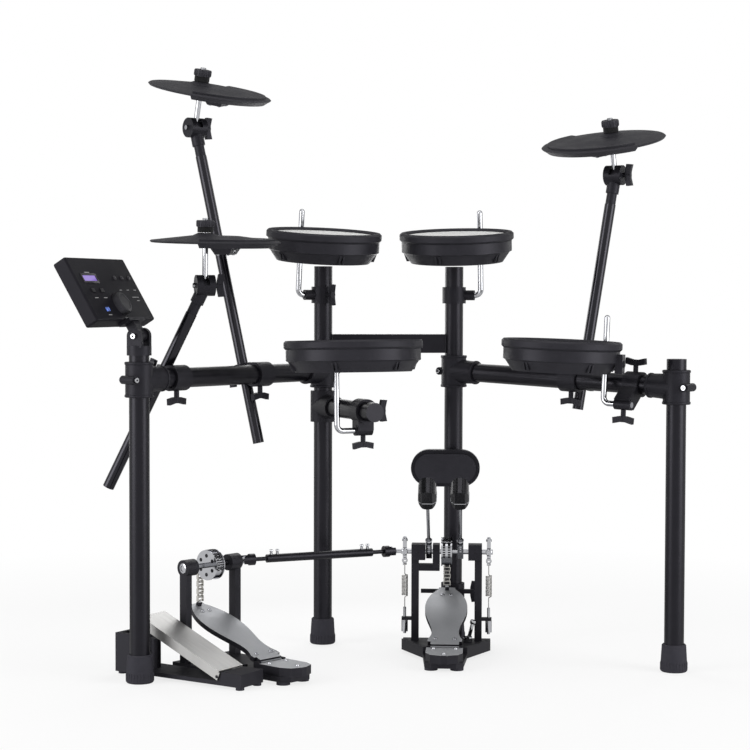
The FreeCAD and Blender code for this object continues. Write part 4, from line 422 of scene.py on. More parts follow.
casting_heights = {}
for casting in solids("corner_castings"):
    low, high = casting["low"], casting["high"]
    inside = [
        number for number, boot in enumerate(boots)
        if low[0] < boot[0] < high[0] and low[1] < boot[1] < high[1]
    ]
    casting_heights[inside[0]] = casting["middle"][2], casting["tall"]
sleeve_ends, socket_ends = [], []
for number, (height, tall) in casting_heights.items():
    partner = number ^ 1
    spot = Vector((*boots[number][:2], height))
    far = Vector((*boots[partner][:2], casting_heights[partner][0]))
    line = (far - spot).normalized()
    rise = upward * (tall / 2 - collar_half - collar_inset)
    sleeve_ends += [(spot - rise, upward), (spot + rise, upward)]
    socket_ends.append((spot + line * socket_reach, line))
added(
    "casting_collars", casting_black, "rack", "cast_black",
    studs(collar(sleeve_radius), sleeve_ends, collar_turns, ring=True),
    studs(collar(socket_radius), socket_ends, collar_turns, ring=True),
    smooth_deg=50.0,
)

smudge, given, result = effect("wiped_shine", {
    "Scale": 60.0, "Colour": (0.7, 0.7, 0.72, 1), "Tint": (0.6, 0.6, 0.62, 1),
    "Rough Low": 0.06, "Rough High": 0.2,
}, ("Colour", "Roughness", "Height"))
place = own_place(smudge)
scratch_place = step(smudge, "Mapping", {"Vector": place, "Scale": (900.0, 900.0, 60.0)}).outputs["Vector"]
haze = spread(smudge, noise(smudge, place, given["Scale"], detail=6.0, roughness=0.65), 0.35, 0.7)
feed(smudge, result, {
    "Colour": blend_colour(smudge, haze, given["Colour"], given["Tint"]),
    "Roughness": spread(smudge, haze, 0.0, 1.0, given["Rough Low"], given["Rough High"]),
    "Height": noise(smudge, scratch_place, scale=1.0, detail=2.0),
})


def plated(name, colour, tint, rough, rim, depth):
    made, tree, skin = blank(name)
    base = placed(tree, smudge, colour=colour, tint=tint, rough_low=rough[0], rough_high=rough[1])
    # Toward edges seen side-on the colour goes over to the dark rim colour, which also tints the edge
    # reflection: a painted dark reflection.
    edge = spread(tree, edge_share(tree), 0.35, 0.8)
    feed(tree, skin, {
        "Base Color": blend_colour(tree, edge, base["Colour"], rim),
        "Roughness": base["Roughness"],
        "Normal": bumped(tree, base["Height"], depth, distance=0.0002),
        "Metallic": 1.0,
        "Specular Tint": rim,
    })
    return made


# The chrome's dark rim colour is a painted dark reflection at its side-on edges.
chrome = plated(
    "chrome", colour=(0.46, 0.465, 0.485, 1), tint=(0.41, 0.415, 0.435, 1), rough=(0.1, 0.16),
    rim=(0.1, 0.1, 0.115, 1), depth=0.003,
)
bolt_span = 0.02
adjuster_tall, adjuster_top = 0.03, 0.12


def bolt_finish(group):
    adjuster = group["tall"] > adjuster_tall and group["high"][2] < adjuster_top
    return int(adjuster or group["span"] < bolt_span)


dress_solids("bolts_and_knobs", (casting_black, chrome), bolt_finish)
# This dark plastic colours real dark nuts and screws, and also the dark discs and blocks laid on holes,
# notches, sockets and slots as painted shade.
dark_parts_and_painted_shade = moulded(
    "dark_parts_and_painted_shade", colour=(0.006, 0.0058, 0.007, 1), tint=(0.011, 0.0107, 0.0128, 1), rough=(0.3, 0.45),
    scale=900.0, depth=0.08, worn_colour=(0.05, 0.05, 0.052, 1), worn=0.3, dusty=0.05, specular=0.2,
)
key_share, key_taper, key_sunk, key_proud, key_top = 0.46, 0.9, 0.0002, 0.0004, 0.00045


# Each small bolt head gets a flat dark hexagon set just proud of it: painted shade standing in for the key
# socket's recess.
def key_socket_shades(shape):
    for bolt in solids("bolts_and_knobs"):
        if bolt["span"] > bolt_span:
            continue
        offsets = bolt["points"] - bolt["middle"]
        line = np.linalg.svd(offsets, full_matrices=False)[2][2]
        half = np.abs(offsets @ line).max()
        wide = np.linalg.norm(np.cross(offsets, line), axis=1).max() * key_share
        profile = [(wide, 0.0), (wide, key_proud), (wide * key_taper, key_top)]
        for side in (-1, 1):
            spot = Vector(bolt["middle"] + line * side * (half - key_sunk))
            spun(shape, profile, spot, Vector(line) * side, turns=6)


added("key_socket_shades", dark_parts_and_painted_shade, "rack", "chrome", key_socket_shades, smooth_deg=30.0)


# Cymbal arms: black coated tubes with a stepped collar, a slotted tilter barrel, a bright bolt and a wing nut.
# They slide in their clamps, and their coat is smoother and glossier than the rack's.
arm_coat = moulded(
    "arm_coat", colour=(0.0018, 0.0017, 0.0026, 1), tint=(0.0032, 0.003, 0.0044, 1), rough=(0.17, 0.23),
    scale=700.0, depth=0.03, worn_colour=(0.05, 0.05, 0.055, 1), worn=0.22, dusty=0.03, specular=0.34,
)
cymbals = ("hihat", "crash", "ride")
for name in cymbals:
    spans = sorted((group["span"] for group in solids(name + "_arm")), reverse=True)
    finishes = dict(zip(spans, (0, 1, 1, 2)))
    dress_solids(name + "_arm", (arm_coat, casting_black, chrome), lambda group: finishes[group["span"]])


# Tilters: a toothed black knuckle with a chrome rod, a rubber seat below the cymbal, felt and a ribbed nut.
# The rod's top is threaded for the nut, which holds the cymbal loosely between seat and felt.
joints = {joint["name"]: joint for joint in frame["joints"]}


def face_data(node, label):
    return listed(frame["nodes"][node].data.polygons, label, 3).reshape(-1, 3)


def paint_faces(node, chosen, index):
    polygons = frame["nodes"][node].data.polygons
    held = listed(polygons, "material_index", 1, np.int32)
    held[chosen] = index
    polygons.foreach_set("material_index", held)


felt, given, result = effect(
    "felt_nap", {"Colour": (0.01, 0.01, 0.01, 1), "Tint": (0.03, 0.03, 0.03, 1)}, ("Colour", "Height"),
)
place = own_place(felt)
nap = noise(felt, place, scale=1800.0, detail=5.0, roughness=0.75)
clump = step(felt, "TexVoronoi", {"Vector": place, "Scale": 500.0}).outputs["Distance"]
feed(felt, result, {
    "Colour": blend_colour(felt, spread(felt, nap, 0.35, 0.65), given["Colour"], given["Tint"]),
    "Height": sum_of(felt, "ADD", nap, clump),
})
black_felt, tree, skin = blank("black_felt")
base = placed(tree, felt, colour=(0.006, 0.006, 0.0065, 1), tint=(0.022, 0.022, 0.023, 1))
feed(tree, skin, {
    "Base Color": base["Colour"], "Normal": bumped(tree, base["Height"], strength=0.6, distance=0.0006),
    "Roughness": 0.95, "Specular IOR Level": 0.1, "Sheen Weight": 0.25,
})
nut_plastic = moulded(
    "nut_plastic", colour=(0.019, 0.0186, 0.0225, 1), tint=(0.029, 0.0284, 0.0335, 1), rough=(0.45, 0.6),
    scale=1200.0, depth=0.15, worn_colour=(0.08, 0.08, 0.08, 1), worn=0.3, dusty=0.12, specular=0.25,
)
knuckle_clear, stem_radius, stem_slack = 0.0148, 0.00525, 1.03
felt_low, felt_high, nut_high, nut_radius = 0.0105, 0.021, 0.0335, 0.0168
nut_low = felt_high - 1e-4
rib_count, rib_long, rib_sunk = 20, 0.0105, 0.0002
rib_profile = [(0.0005, 0.0), (0.0011, 0.0008), (0.0011, 0.0093), (0.0004, 0.0105)]
thread_count, thread_pitch, thread_first = 3, 0.0013, 0.6
thread_profile = [(0.0048, -0.0005), (0.0054, -0.0005), (0.0058, 0.0), (0.0054, 0.0005), (0.0048, 0.0005)]
for name in cymbals:
    tilter = name + "_tilter"
    dress(tilter, casting_black, chrome, boot_rubber, black_felt, nut_plastic)
    pivot, hole = (np.array(joints[name + turn]["pos_m"]) for turn in ("_tilt", "_swing"))
    line = (hole - pivot) / np.linalg.norm(hole - pivot)
    centres = face_data(tilter, "center")
    height = (centres - hole) @ line
    off_rod = np.linalg.norm(np.cross(centres - hole, line), axis=1) >= stem_radius * stem_slack
    clear = np.linalg.norm(centres - pivot, axis=1) > knuckle_clear
    paint_faces(tilter, ~off_rod & clear, 1)
    paint_faces(tilter, off_rod & clear & (height < 0), 2)
    paint_faces(tilter, off_rod & (height > felt_low / 2) & (height < nut_low), 3)
    paint_faces(tilter, off_rod & (height > nut_low), 4)
    stem = Vector(line)
    nut_middle = Vector(hole) + stem * (felt_high + nut_high) / 2
    nut_top = nut_middle + stem * (nut_high - felt_high) / 2
    rib_foot = nut_middle - stem * rib_long / 2
    rib_outs = around(stem, stem.orthogonal().normalized(), rib_count)
    ribs = [(rib_foot + out * (nut_radius - rib_sunk), stem) for out in rib_outs]
    thread_steps = [thread_pitch * (number + thread_first) for number in range(thread_count)]
    threads = [(nut_top + stem * rise, stem) for rise in thread_steps]
    added(
        name + "_nut_ribs", nut_plastic, tilter, "shell_plastic",
        studs(rib_profile, ribs, turns=8),
        smooth_deg=50.0,
    )
    added(
        name + "_stem_thread", chrome, tilter, "chrome",
        studs(thread_profile, threads, turns=24, ring=True),
        smooth_deg=60.0,
    )


# Cymbal pads: a dark grey rubber disc on a stiff core, with a thicker playing half and a sensor box below.
# The rubber is matte with a fine lathe-turned grain.
def wave(tree, along, pitch):
    turns = sum_of(tree, "DIVIDE", sum_of(tree, "MULTIPLY", along, 2 * math.pi), pitch)
    return sum_of(tree, "SINE", turns)


lathe, given, result = effect(
    "turned_rings", {"Middle": (0, 0, 0), "Axis": (0, 0, 1), "Pitch": 0.0016}, ("Height",),
)
offset = vector_of(lathe, "SUBTRACT", own_place(lathe), given["Middle"])
radius = vector_of(lathe, "LENGTH", vector_of(lathe, "CROSS_PRODUCT", offset, given["Axis"]))
feed(lathe, result, {"Height": wave(lathe, radius, given["Pitch"])})


def cymbal_rubber(name, middle, axis):
    made, tree, skin = blank(name)
    base = placed(
        tree, grain, scale=900.0, colour=(0.0145, 0.0142, 0.0172, 1), tint=(0.021, 0.0206, 0.0245, 1),
        rough_low=0.52, rough_high=0.66,
    )
    rings = placed(tree, lathe, middle=middle, axis=axis, pitch=0.0022)["Height"]
    rubbed = placed(tree, wear, amount=0.3, radius=0.0015)["Mask"]
    settled = placed(tree, dust, amount=0.12)["Mask"]
    shown = blend_colour(tree, rubbed, base["Colour"], (0.05, 0.05, 0.054, 1))
    ring_bump = step(tree, "Bump", {
        "Height": rings, "Strength": 0.1, "Distance": 0.0002,
        "Normal": bumped(tree, base["Height"], strength=0.16, distance=0.0003),
    })
    feed(tree, skin, {
        "Base Color": blend_colour(tree, settled, shown, (0.09, 0.089, 0.089, 1)),
        "Roughness": base["Roughness"],
        "Normal": ring_bump.outputs["Normal"],
        "Specular IOR Level": spread(tree, edge_share(tree), 0.3, 0.9, 0.2, 0.04),
        "Specular Tint": black_sheen,
    })
    return made


def pan_screws(radius, places):
    crown = ((0.86, 0.38), (0.52, 0.46), (0.46, 0.2), (0.1, 0.18))
    rim = [(radius * 0.95, -0.0004), (radius, 0.0004)]
    return studs(rim + [(radius * out, radius * high) for out, high in crown], places, turns=20)


def ring_nuts(radius, places):
    crown = ((1.0, 0.28), (0.86, 0.42), (0.62, 0.42), (0.56, 0.3))
    ring = [(radius * out, radius * high) for out, high in crown]
    return studs([(radius, -0.001), *ring, (radius * 0.56, -0.0008)], places, turns=24, ring=True)


box_rows, box_screw_side, box_bottom = (0.0305, 0.0495), 0.0195, 0.0305
box_screw_radius, box_nut_radius = 0.0034, 0.0055
nut_beyond, nut_rise, nut_lean = 0.0068, 0.007, 0.5
for name in cymbals:
    pad = name + "_cymbal"
    middle = Vector(joints[name + "_swing"]["pos_m"])
    axis = (middle - Vector(joints[name + "_tilt"]["pos_m"])).normalized()
    dress(pad, cymbal_rubber(pad + "_rubber", middle, axis))
    toward = Vector(solids(pad)[0]["points"].mean(axis=0)) - middle
    toward = (toward - axis * toward.dot(axis)).normalized()
    across = axis.cross(toward)
    bottom = middle - axis * box_bottom
    box_screws = [
        (bottom + toward * along + across * side * box_screw_side, -axis)
        for along in box_rows for side in (-1, 1)
    ]
    nut_spot = bottom + toward * (box_rows[1] + nut_beyond) + axis * nut_rise
    added(
        name + "_box_fittings", chrome, pad, "chrome",
        pan_screws(box_screw_radius, box_screws),
        ring_nuts(box_nut_radius, [(nut_spot, toward - axis * nut_lean)]),
        smooth_deg=45.0,
    )


# Pad rods: bent chrome-plated rods, gripped by a clamp at the foot and by the shell's holder above.
# The pads slide on them, so the plating is lightly wiped.
pads = ("left_tom", "right_tom", "snare", "floor_tom")
for name in pads:
    dress(name + "_rod", chrome)


# Drum pads: a moulded black shell with a tapered skirt, a soft rubber hoop and a tensioned white mesh head.
# Screw posts stand on the skirt, where the hoop's screws run through the shell.
shell_plastic = moulded(
    "shell_plastic", colour=(0.0115, 0.0112, 0.014, 1), tint=(0.0185, 0.018, 0.022, 1), rough=(0.38, 0.5),
    scale=1000.0, depth=0.2, worn_colour=(0.05, 0.05, 0.052, 1), worn=0.3, dusty=0.12, specular=0.2,
)
hoop_rubber = moulded(
    "hoop_rubber", colour=(0.0125, 0.0122, 0.015, 1), tint=(0.0195, 0.019, 0.023, 1), rough=(0.46, 0.6),
    scale=800.0, depth=0.18, worn_colour=(0.045, 0.045, 0.046, 1), worn=0.3, dusty=0.14, specular=0.2,
)
weave, given, result = effect("crossed_threads", {
    "Pitch": 0.0011, "Colour": (0.8, 0.8, 0.79, 1), "Tint": (0.55, 0.55, 0.54, 1),
}, ("Colour", "Height"))
place = step(weave, "SeparateXYZ", {"Vector": own_place(weave)}).outputs
warp, weft = (sum_of(weave, "ABSOLUTE", wave(weave, place[axis], given["Pitch"])) for axis in ("X", "Y"))
thread_height_and_shade = sum_of(weave, "MAXIMUM", warp, weft)
# The colour turns to the darker tint where the threads dip between crossings: painted shade in the weave's
# hollows.
feed(weave, result, {
    "Colour": blend_colour(weave, spread(weave, thread_height_and_shade, 0.4, 0.9), given["Tint"], given["Colour"]),
    "Height": thread_height_and_shade,
})
mesh_cloth, tree, skin = blank("mesh_cloth")
# The darker tint is the painted shade in the hollows between the threads.
base = placed(tree, weave, colour=(0.82, 0.82, 0.81, 1), tint=(0.6, 0.6, 0.59, 1))
feed(tree, skin, {
    "Base Color": base["Colour"], "Roughness": 0.75,
    "Normal": bumped(tree, base["Height"], strength=0.35, distance=0.0004),
})


def eased(shape, edges, ease):
    bmesh.ops.bevel(shape, geom=edges, offset=ease, segments=2, affect="EDGES", profile=0.5)


def eased_box(shape, centre, axes, halves, ease):
    corners = [
        shape.verts.new(
            Vector(centre) + axes[0] * halves[0] * a + axes[1] * halves[1] * b + axes[2] * halves[2] * c
        )
        for a in (-1, 1) for b in (-1, 1) for c in (-1, 1)
    ]
    order = ((0, 1, 3, 2), (4, 6, 7, 5), (0, 4, 5, 1), (2, 3, 7, 6), (0, 2, 6, 4), (1, 5, 7, 3))
    faces = [shape.faces.new([corners[index] for index in face]) for face in order]
    eased(shape, list({edge for face in faces for edge in face.edges}), ease)


# A flat dark disc laid on a hole: painted shade standing in for its depth.
def hole_shade_discs(radius, places, turns):
    return studs([(radius, 0.0), (radius, 0.0002)], places, turns)


tom_radius, snare_radius, tom_posts, snare_posts = 0.1143, 0.132, 5, 6
head_height, head_thick, wall_inset, rod_top_long = 0.053, 0.0016, 0.008, 0.004
mesh_gap, mesh_thick, mesh_eye, mesh_edge = 0.0002, 0.001, 0.0002, 0.0006
mesh_rings = (0.25, 0.5, 0.75, 0.88, 0.95)
jack_deg, jack_proud, jack_height, jack_nut, jack_hole = 118.0, 0.005, 0.02, 0.0066, 0.0034
holder_back, holder_middle, holder_screw = 0.013, 0.0175, 0.0055
grip_profile = [
    (0.0042, -0.0008), (0.0042, 0.006), (0.0066, 0.0075), (0.0066, 0.0125), (0.0052, 0.0145), (0.0008, 0.0148),
]
ear_out, ear_aside, ear_halves, ear_ease = 0.0105, 0.0105, (0.0035, 0.0022, 0.0058), 0.0014
post_low, post_high, post_wide, post_ease = 0.003, 0.0185, 0.0045, 0.0006
post_apart, post_half, post_inset = post_wide * 0.8, post_wide * 0.42, 0.0015
foot_inward, foot_outward, top_outward, top_inward = 0.004, 0.0065, 0.0012, 0.006
skirt_deep, skirt_high, band_step = 0.022, 0.020, 0.008
post_order = ((0, 2, 3, 1), (2, 4, 5, 3), (4, 6, 7, 5), (6, 0, 1, 7), (0, 6, 4, 2), (1, 3, 5, 7))
for name in pads:
    shell, body = name + "_shell", name + "_pad"
    radius, post_count = (snare_radius, snare_posts) if name == "snare" else (tom_radius, tom_posts)
    hoop_height = sorted(group["middle"][2] for group in solids(shell))[1]
    dress_solids(shell, (shell_plastic, hoop_rubber), lambda group: int(group["middle"][2] == hoop_height))
    dress(name + "_head", mesh_cloth)
    up = Vector(joints[name + "_height"]["axis"]).normalized()
    up = up if up.z > 0 else -up
    head_low, head_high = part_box(name + "_head")
    middle = (head_low + head_high) / 2
    rod_points = solids(name + "_rod")[0]["points"]
    reach = rod_points @ np.array(up)
    back = Vector(rod_points[reach > reach.max() - rod_top_long].mean(axis=0)) - middle
    back = back - up * back.dot(up)
    rod_away = back.length
    back = back.normalized()
    across = up.cross(back)
    base_middle = middle - up * (head_height + head_thick / 2)

    mesh_radius = radius - wall_inset - mesh_gap
    rings = [mesh_eye, *(mesh_radius * share for share in mesh_rings)]
    over, under = [(out, 0.0) for out in rings], [(out, -mesh_thick) for out in reversed(rings)]
    rim = [
        (mesh_radius - mesh_edge, 0.0), (mesh_radius, -mesh_thick / 2), (mesh_radius - mesh_edge, -mesh_thick),
    ]
    mesh_top = middle + up * (head_thick / 2 - mesh_gap)
    head = added(
        name + "_mesh", mesh_cloth, body, "mesh",
        studs(over + rim + under, [(mesh_top, up)], turns=72),
        smooth_deg=60.0,
    )
    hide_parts(name + "_head")

    jack_turn = math.radians(-jack_deg if name == "right_tom" else jack_deg)
    jack_out = Matrix.Rotation(jack_turn, 3, up) @ -back
    jack = [(base_middle + jack_out * (radius + jack_proud) + up * jack_height, jack_out)]
    # The jack's hole is a flat dark disc inside its nut: painted shade.
    added(
        name + "_jack_socket", dark_parts_and_painted_shade, body, "shell_plastic",
        ring_nuts(jack_nut, jack),
        hole_shade_discs(jack_hole, jack, turns=20),
        smooth_deg=45.0,
    )

    def rod_screw(shape):
        spot = base_middle + back * (rod_away + holder_back) + up * holder_middle
        if name == "floor_tom":
            pan_screws(holder_screw, [(spot, back)])(shape)
            return
        spun(shape, grip_profile, spot, back, turns=24)
        for side in (-1, 1):
            ear = spot + back * ear_out + up * side * ear_aside
            eased_box(shape, ear, (back, across, up), ear_halves, ear_ease)

    added(name + "_rod_screw", casting_black, body, "cast_black", rod_screw, smooth_deg=40.0)

    low_out = radius - skirt_deep + (skirt_deep - band_step) * post_low / skirt_high
    high_out = radius - band_step - post_inset
    post_side = (
        (low_out - foot_inward, post_low), (low_out + foot_outward, post_low),
        (high_out + top_outward, post_high), (high_out - top_inward, post_high),
    )

    def skirt_posts(shape):
        for number in range(post_count):
            angle = 2 * math.pi * (number + 0.5) / post_count
            out = back * math.cos(angle) + across * math.sin(angle)
            side = up.cross(out)
            for offset in (-post_apart, post_apart):
                corners = []
                for away, height in post_side:
                    for edge in (-post_half, post_half):
                        spot = base_middle + out * away + up * height + side * (offset + edge)
                        corners.append(shape.verts.new(spot))
                for face in post_order:
                    shape.faces.new([corners[index] for index in face])
        eased(shape, shape.edges[:], post_ease)

    added(name + "_screw_posts", shell_plastic, body, "shell_plastic", skirt_posts, smooth_deg=40.0)


# Kick pad: a stadium-shaped housing on the inner right post with a soft striking face let into its rim.
# The face is smooth dense rubber, a little paler than the housing.
kick_rubber = moulded(
    "kick_rubber", colour=(0.0185, 0.018, 0.0222, 1), tint=(0.0245, 0.024, 0.029, 1), rough=(0.42, 0.6),
    scale=500.0, depth=0.1, worn_colour=(0.04, 0.04, 0.041, 1), worn=0.3, dusty=0.06, specular=0.2,
)
dress("kick_pad_face", kick_rubber)
dress("kick_pad_housing", casting_black)


# Double pedal: black coated steel bases and frames on rubber feet, with cast bearing blocks.
# Axles, cams, hubs and levers are bright plated, and the spring adjusters are plated too.
pedal_coat = moulded(
    "pedal_coat", colour=(0.0095, 0.0093, 0.0116, 1), tint=(0.016, 0.0156, 0.0193, 1), rough=(0.36, 0.5),
    scale=900.0, depth=0.16, worn_colour=(0.06, 0.06, 0.064, 1), worn=0.35, dusty=0.12, specular=0.18,
)
foot_span = 0.05
for base_name in ("pedal_base", "side_base"):
    dress_solids(base_name, (pedal_coat, boot_rubber), lambda group: int(group["span"] < foot_span))
for frame_name in ("pedal_frame", "side_frame"):
    dress(frame_name, pedal_coat)
for axle_name in ("main_axle", "left_axle", "side_axle"):
    dress(axle_name, chrome)


def pedal_axes(turn):
    across = Vector(joints[turn]["axis"]).normalized()
    across = across if across.x > 0 else -across
    return Vector(joints[turn]["pos_m"]), across, upward.cross(across)


cam_face, cam_slack, cam_hole_ring, cam_hole_count = 0.011, 0.001, 0.0185, 6
cam_hole = [(0.0038, -0.0006), (0.0038, 0.0003), (0.0034, 0.0005), (0.0003, 0.0002)]
notch_rows, notch_count, notch_start, notch_step = (-0.0052, 0.0052), 15, -16.0, 10.0
notch_halves, notch_ease, notch_sunk = (0.0027, 0.0012, 0.0006), 0.0003, 0.0003
cams = {"main_axle": "main_beater_swing", "side_axle": "side_axle_turn"}
for axle_name, turn in cams.items():
    centre, across = pedal_axes(turn)[:2]
    # The cam's holes are shallow dark discs on its faces: painted shade where the holes are.
    cam_hole_shades = [
        (centre + across * side * cam_face + out * cam_hole_ring, across * side)
        for side in (-1, 1) for out in around(across, upward, cam_hole_count)
    ]
    added(
        axle_name + "_cam_hole_shades", dark_parts_and_painted_shade, axle_name, "chrome",
        studs(cam_hole, cam_hole_shades, turns=16),
        smooth_deg=50.0,
    )
for axle_name, turn in cams.items():
    centre, across, level = pedal_axes(turn)
    offsets = np.concatenate([group["points"] for group in solids(axle_name)]) - np.array(centre)
    away = np.linalg.norm(np.cross(offsets, np.array(across)), axis=1)
    cam_radius = away[np.abs(offsets @ np.array(across)) < cam_face + cam_slack].max()

    # The notches in the cam's rim are small dark blocks set just proud of it: painted shade where the notches
    # are.
    def cam_notch_shades(shape):
        for row in notch_rows:
            for number in range(notch_count):
                turned = Matrix.Rotation(-math.radians(notch_start + notch_step * number), 3, across)
                out = turned @ -level
                spot = centre + across * row + out * (cam_radius - notch_sunk)
                eased_box(shape, spot, (across, across.cross(out), out), notch_halves, notch_ease)

    added(axle_name + "_cam_notch_shades", dark_parts_and_painted_shade, axle_name, "chrome", cam_notch_shades, smooth_deg=40.0)

rest_lean = math.radians(45.0)
hubs = {"main_axle": ("main_beater_swing", 0.028), "left_axle": ("left_beater_swing", -0.0364)}
hub_front, hub_bolts, eye_height = 0.009, (0.012, 0.0255), 0.0375
hub_bolt = [(0.0036, -0.0005), (0.0036, 0.002), (0.003, 0.0026), (0.0008, 0.0027)]
hub_eye = [(0.0034, -0.0016), (0.0062, -0.0016), (0.0072, 0.0), (0.0062, 0.0016), (0.0034, 0.0016)]
key_out, key_halves, key_ease = 0.0042, (0.0017, 0.0017, 0.0022), 0.0004


def hub_axes(axle_name):
    turn, aside = hubs[axle_name]
    centre, across, level = pedal_axes(turn)
    rod_up = upward * math.cos(rest_lean) - level * math.sin(rest_lean)
    rod_out = -level * math.cos(rest_lean) - upward * math.sin(rest_lean)
    return centre + across * aside, across, rod_up, rod_out


for axle_name in hubs:
    hub, across, hub_up, hub_out = hub_axes(axle_name)

    def hub_fittings(shape):
        for height in hub_bolts:
            for facing in (-1, 1):
                spot = hub + hub_up * height + hub_out * facing * hub_front
                spun(shape, hub_bolt, spot, hub_out * facing, turns=20)
                key_spot = spot + hub_out * facing * key_out
                eased_box(shape, key_spot, (across, hub_up, hub_out), key_halves, key_ease)
        spun(shape, hub_eye, hub + hub_up * eye_height, hub_up, turns=32, ring=True)

    added(axle_name + "_hub_bolts", chrome, axle_name, "chrome", hub_fittings, smooth_deg=40.0)

lever_aside, lever_front, lever_high, lever_eye_front, lever_eye_low = 0.086, 0.009, 0.022, 0.0045, 0.018
lever_nut = [
    (0.0068, -0.0025), (0.0068, 0.0014), (0.0058, 0.0022), (0.0034, 0.0022), (0.003, 0.0014), (0.0004, 0.0014),
]
lever_cap = [(0.0058, -0.0005), (0.0058, 0.0036), (0.0044, 0.0046), (0.0032, 0.0078), (0.0006, 0.0088)]
lever_eye = [(0.0026, -0.001), (0.0052, -0.001), (0.0058, 0.0002), (0.0052, 0.0014), (0.0026, 0.0014)]
for axle_name, side in (("main_axle", 1), ("left_axle", -1)):
    centre, across, level = pedal_axes(hubs[axle_name][0])
    spot = centre + across * side * lever_aside
    eye_spot = spot - level * lever_eye_front - upward * lever_eye_low
    added(
        axle_name + "_lever_nuts", chrome, axle_name, "chrome",
        studs(lever_nut, [(spot - level * lever_front, -level)], turns=6),
        studs(lever_cap, [(spot + upward * lever_high, upward)], turns=24),
        studs(lever_eye, [(eye_spot, -level)], turns=28, ring=True),
        smooth_deg=40.0,
    )

bearing_face, block_front, block_aside = 0.072, 0.016, 0.058
bearing_ring = [(0.0056, -0.0006), (0.0056, 0.0012), (0.0086, 0.0012), (0.0098, 0.0004), (0.0098, -0.0006)]
block_socket = [(0.0024, -0.0004), (0.0024, 0.0002), (0.002, 0.0003)]
centre, across = pedal_axes("side_axle_turn")[:2]
bearings = [(centre + across * side * bearing_face, across * side) for side in (-1, 1)]
added(
    "bearing_rings", chrome, "rack", "chrome",
    studs(bearing_ring, bearings, turns=40, ring=True),
    smooth_deg=45.0,
)
# The sockets in the bearing blocks are shallow dark discs: painted shade for their holes.
centre, across, level = pedal_axes("main_beater_swing")
blocks = [(centre + across * side * block_aside - level * block_front, -level) for side in (-1, 1)]
added(
    "block_socket_shades", dark_parts_and_painted_shade, "rack", "cast_black", studs(block_socket, blocks, turns=20), smooth_deg=45.0,
)
lever_floor, lever_right, lever_fore = 0.016, 0.044, 0.016
lever_foot = Vector((centre.x, centre.y, lever_floor)) + across * lever_right - level * lever_fore
lever_lean = math.radians(14.0)
lever_rise = upward * math.cos(lever_lean) + across * math.sin(lever_lean)
lever_side = across * math.cos(lever_lean) - upward * math.sin(lever_lean)
lever_boxes = (
    (upward * 0.0055, (across, level, upward), (0.0085, 0.008, 0.006), 0.0015),
    (lever_rise * 0.027, (lever_side, level, lever_rise), (0.0036, 0.0055, 0.018), 0.0018),
    (lever_rise * 0.0425, (lever_side, level, lever_rise), (0.0058, 0.0065, 0.0045), 0.0026),
)
lever_pin, lever_pin_high = [(0.0035, -0.0095), (0.0035, 0.0095), (0.0028, 0.0102)], 0.0085


def hoop_lever(shape):
    for rise, axes, halves, ease in lever_boxes:
        eased_box(shape, lever_foot + rise, axes, halves, ease)
    spun(shape, lever_pin, lever_foot + upward * lever_pin_high, level, turns=20)


added("hoop_lever", chrome, "rack", "chrome", hoop_lever, smooth_deg=40.0)


# Footboards and heel plates: cast boards with grey painted tops and black edges, hinged on a steel pin.
# Small screws hold the chain lug and the hinge.
paint, given, result = effect("metallic_paint", {
    "Colour": (0.14, 0.145, 0.155, 1), "Tint": (0.2, 0.205, 0.215, 1),
}, ("Colour", "Roughness", "Height"))
place = own_place(paint)
flake_colour = step(paint, "TexVoronoi", {"Vector": place, "Scale": 1600.0}).outputs["Color"]
flake = step(paint, "SeparateXYZ", {"Vector": flake_colour}).outputs["X"]
cloud = noise(paint, place, scale=30.0, detail=5.0)
tone = spread(paint, mix_of(paint, flake, 0.4, cloud, 0.6), 0.25, 0.75)
feed(paint, result, {
    "Colour": blend_colour(paint, tone, given["Colour"], given["Tint"]),
    "Roughness": spread(paint, cloud, 0.3, 0.7, 0.46, 0.58),
    "Height": flake,
})
board_paint, tree, skin = blank("board_paint")
base = placed(tree, paint, colour=(0.212, 0.217, 0.229, 1), tint=(0.265, 0.271, 0.284, 1))
rubbed = placed(tree, wear, amount=0.5, radius=0.002)["Mask"]
feed(tree, skin, {
    "Base Color": blend_colour(tree, rubbed, base["Colour"], (0.42, 0.42, 0.43, 1)),
    "Roughness": base["Roughness"], "Metallic": 0.5,
    "Normal": bumped(tree, base["Height"], strength=0.05, distance=0.0002),
})
top_facing = 0.6
for board in ("pedal_footboard", "side_footboard", "heel_plates"):
    dress(board, pedal_coat, board_paint)
    paint_faces(board, face_data(board, "normal")[:, 2] > top_facing, 1)
board_slope = math.radians(21.0)
board_top, board_screw_radius = 0.009, 0.0042
board_screws = ((-0.019, 0.021), (0.019, 0.021), (-0.0085, 0.193), (0.0085, 0.193))
for board, press, turn in (
    ("pedal_footboard", "pedal_press", "main_beater_swing"), ("side_footboard", "side_press", "side_axle_turn"),
):
    across, level = pedal_axes(turn)[1:]
    run = level * math.cos(board_slope) + upward * math.sin(board_slope)
    face = upward * math.cos(board_slope) - level * math.sin(board_slope)
    top = Vector(joints[press]["pos_m"]) + face * board_top
    screws = [(top + across * aside + run * along, face) for aside, along in board_screws]
    added(board + "_screws", chrome, board, "chrome", pan_screws(board_screw_radius, screws), smooth_deg=45.0)
heel_top, heel_screw_radius = 0.033, 0.004
heel_screws = ((-0.022, -0.185), (0.022, -0.185), (0.0, -0.238))
screws = []
for turn in cams.values():
    centre, across, level = pedal_axes(turn)
    top = Vector((centre.x, centre.y, heel_top))
    screws += [(top + across * aside + level * along, upward) for aside, along in heel_screws]
added("heel_screws", chrome, "rack", "chrome", pan_screws(heel_screw_radius, screws), smooth_deg=45.0)


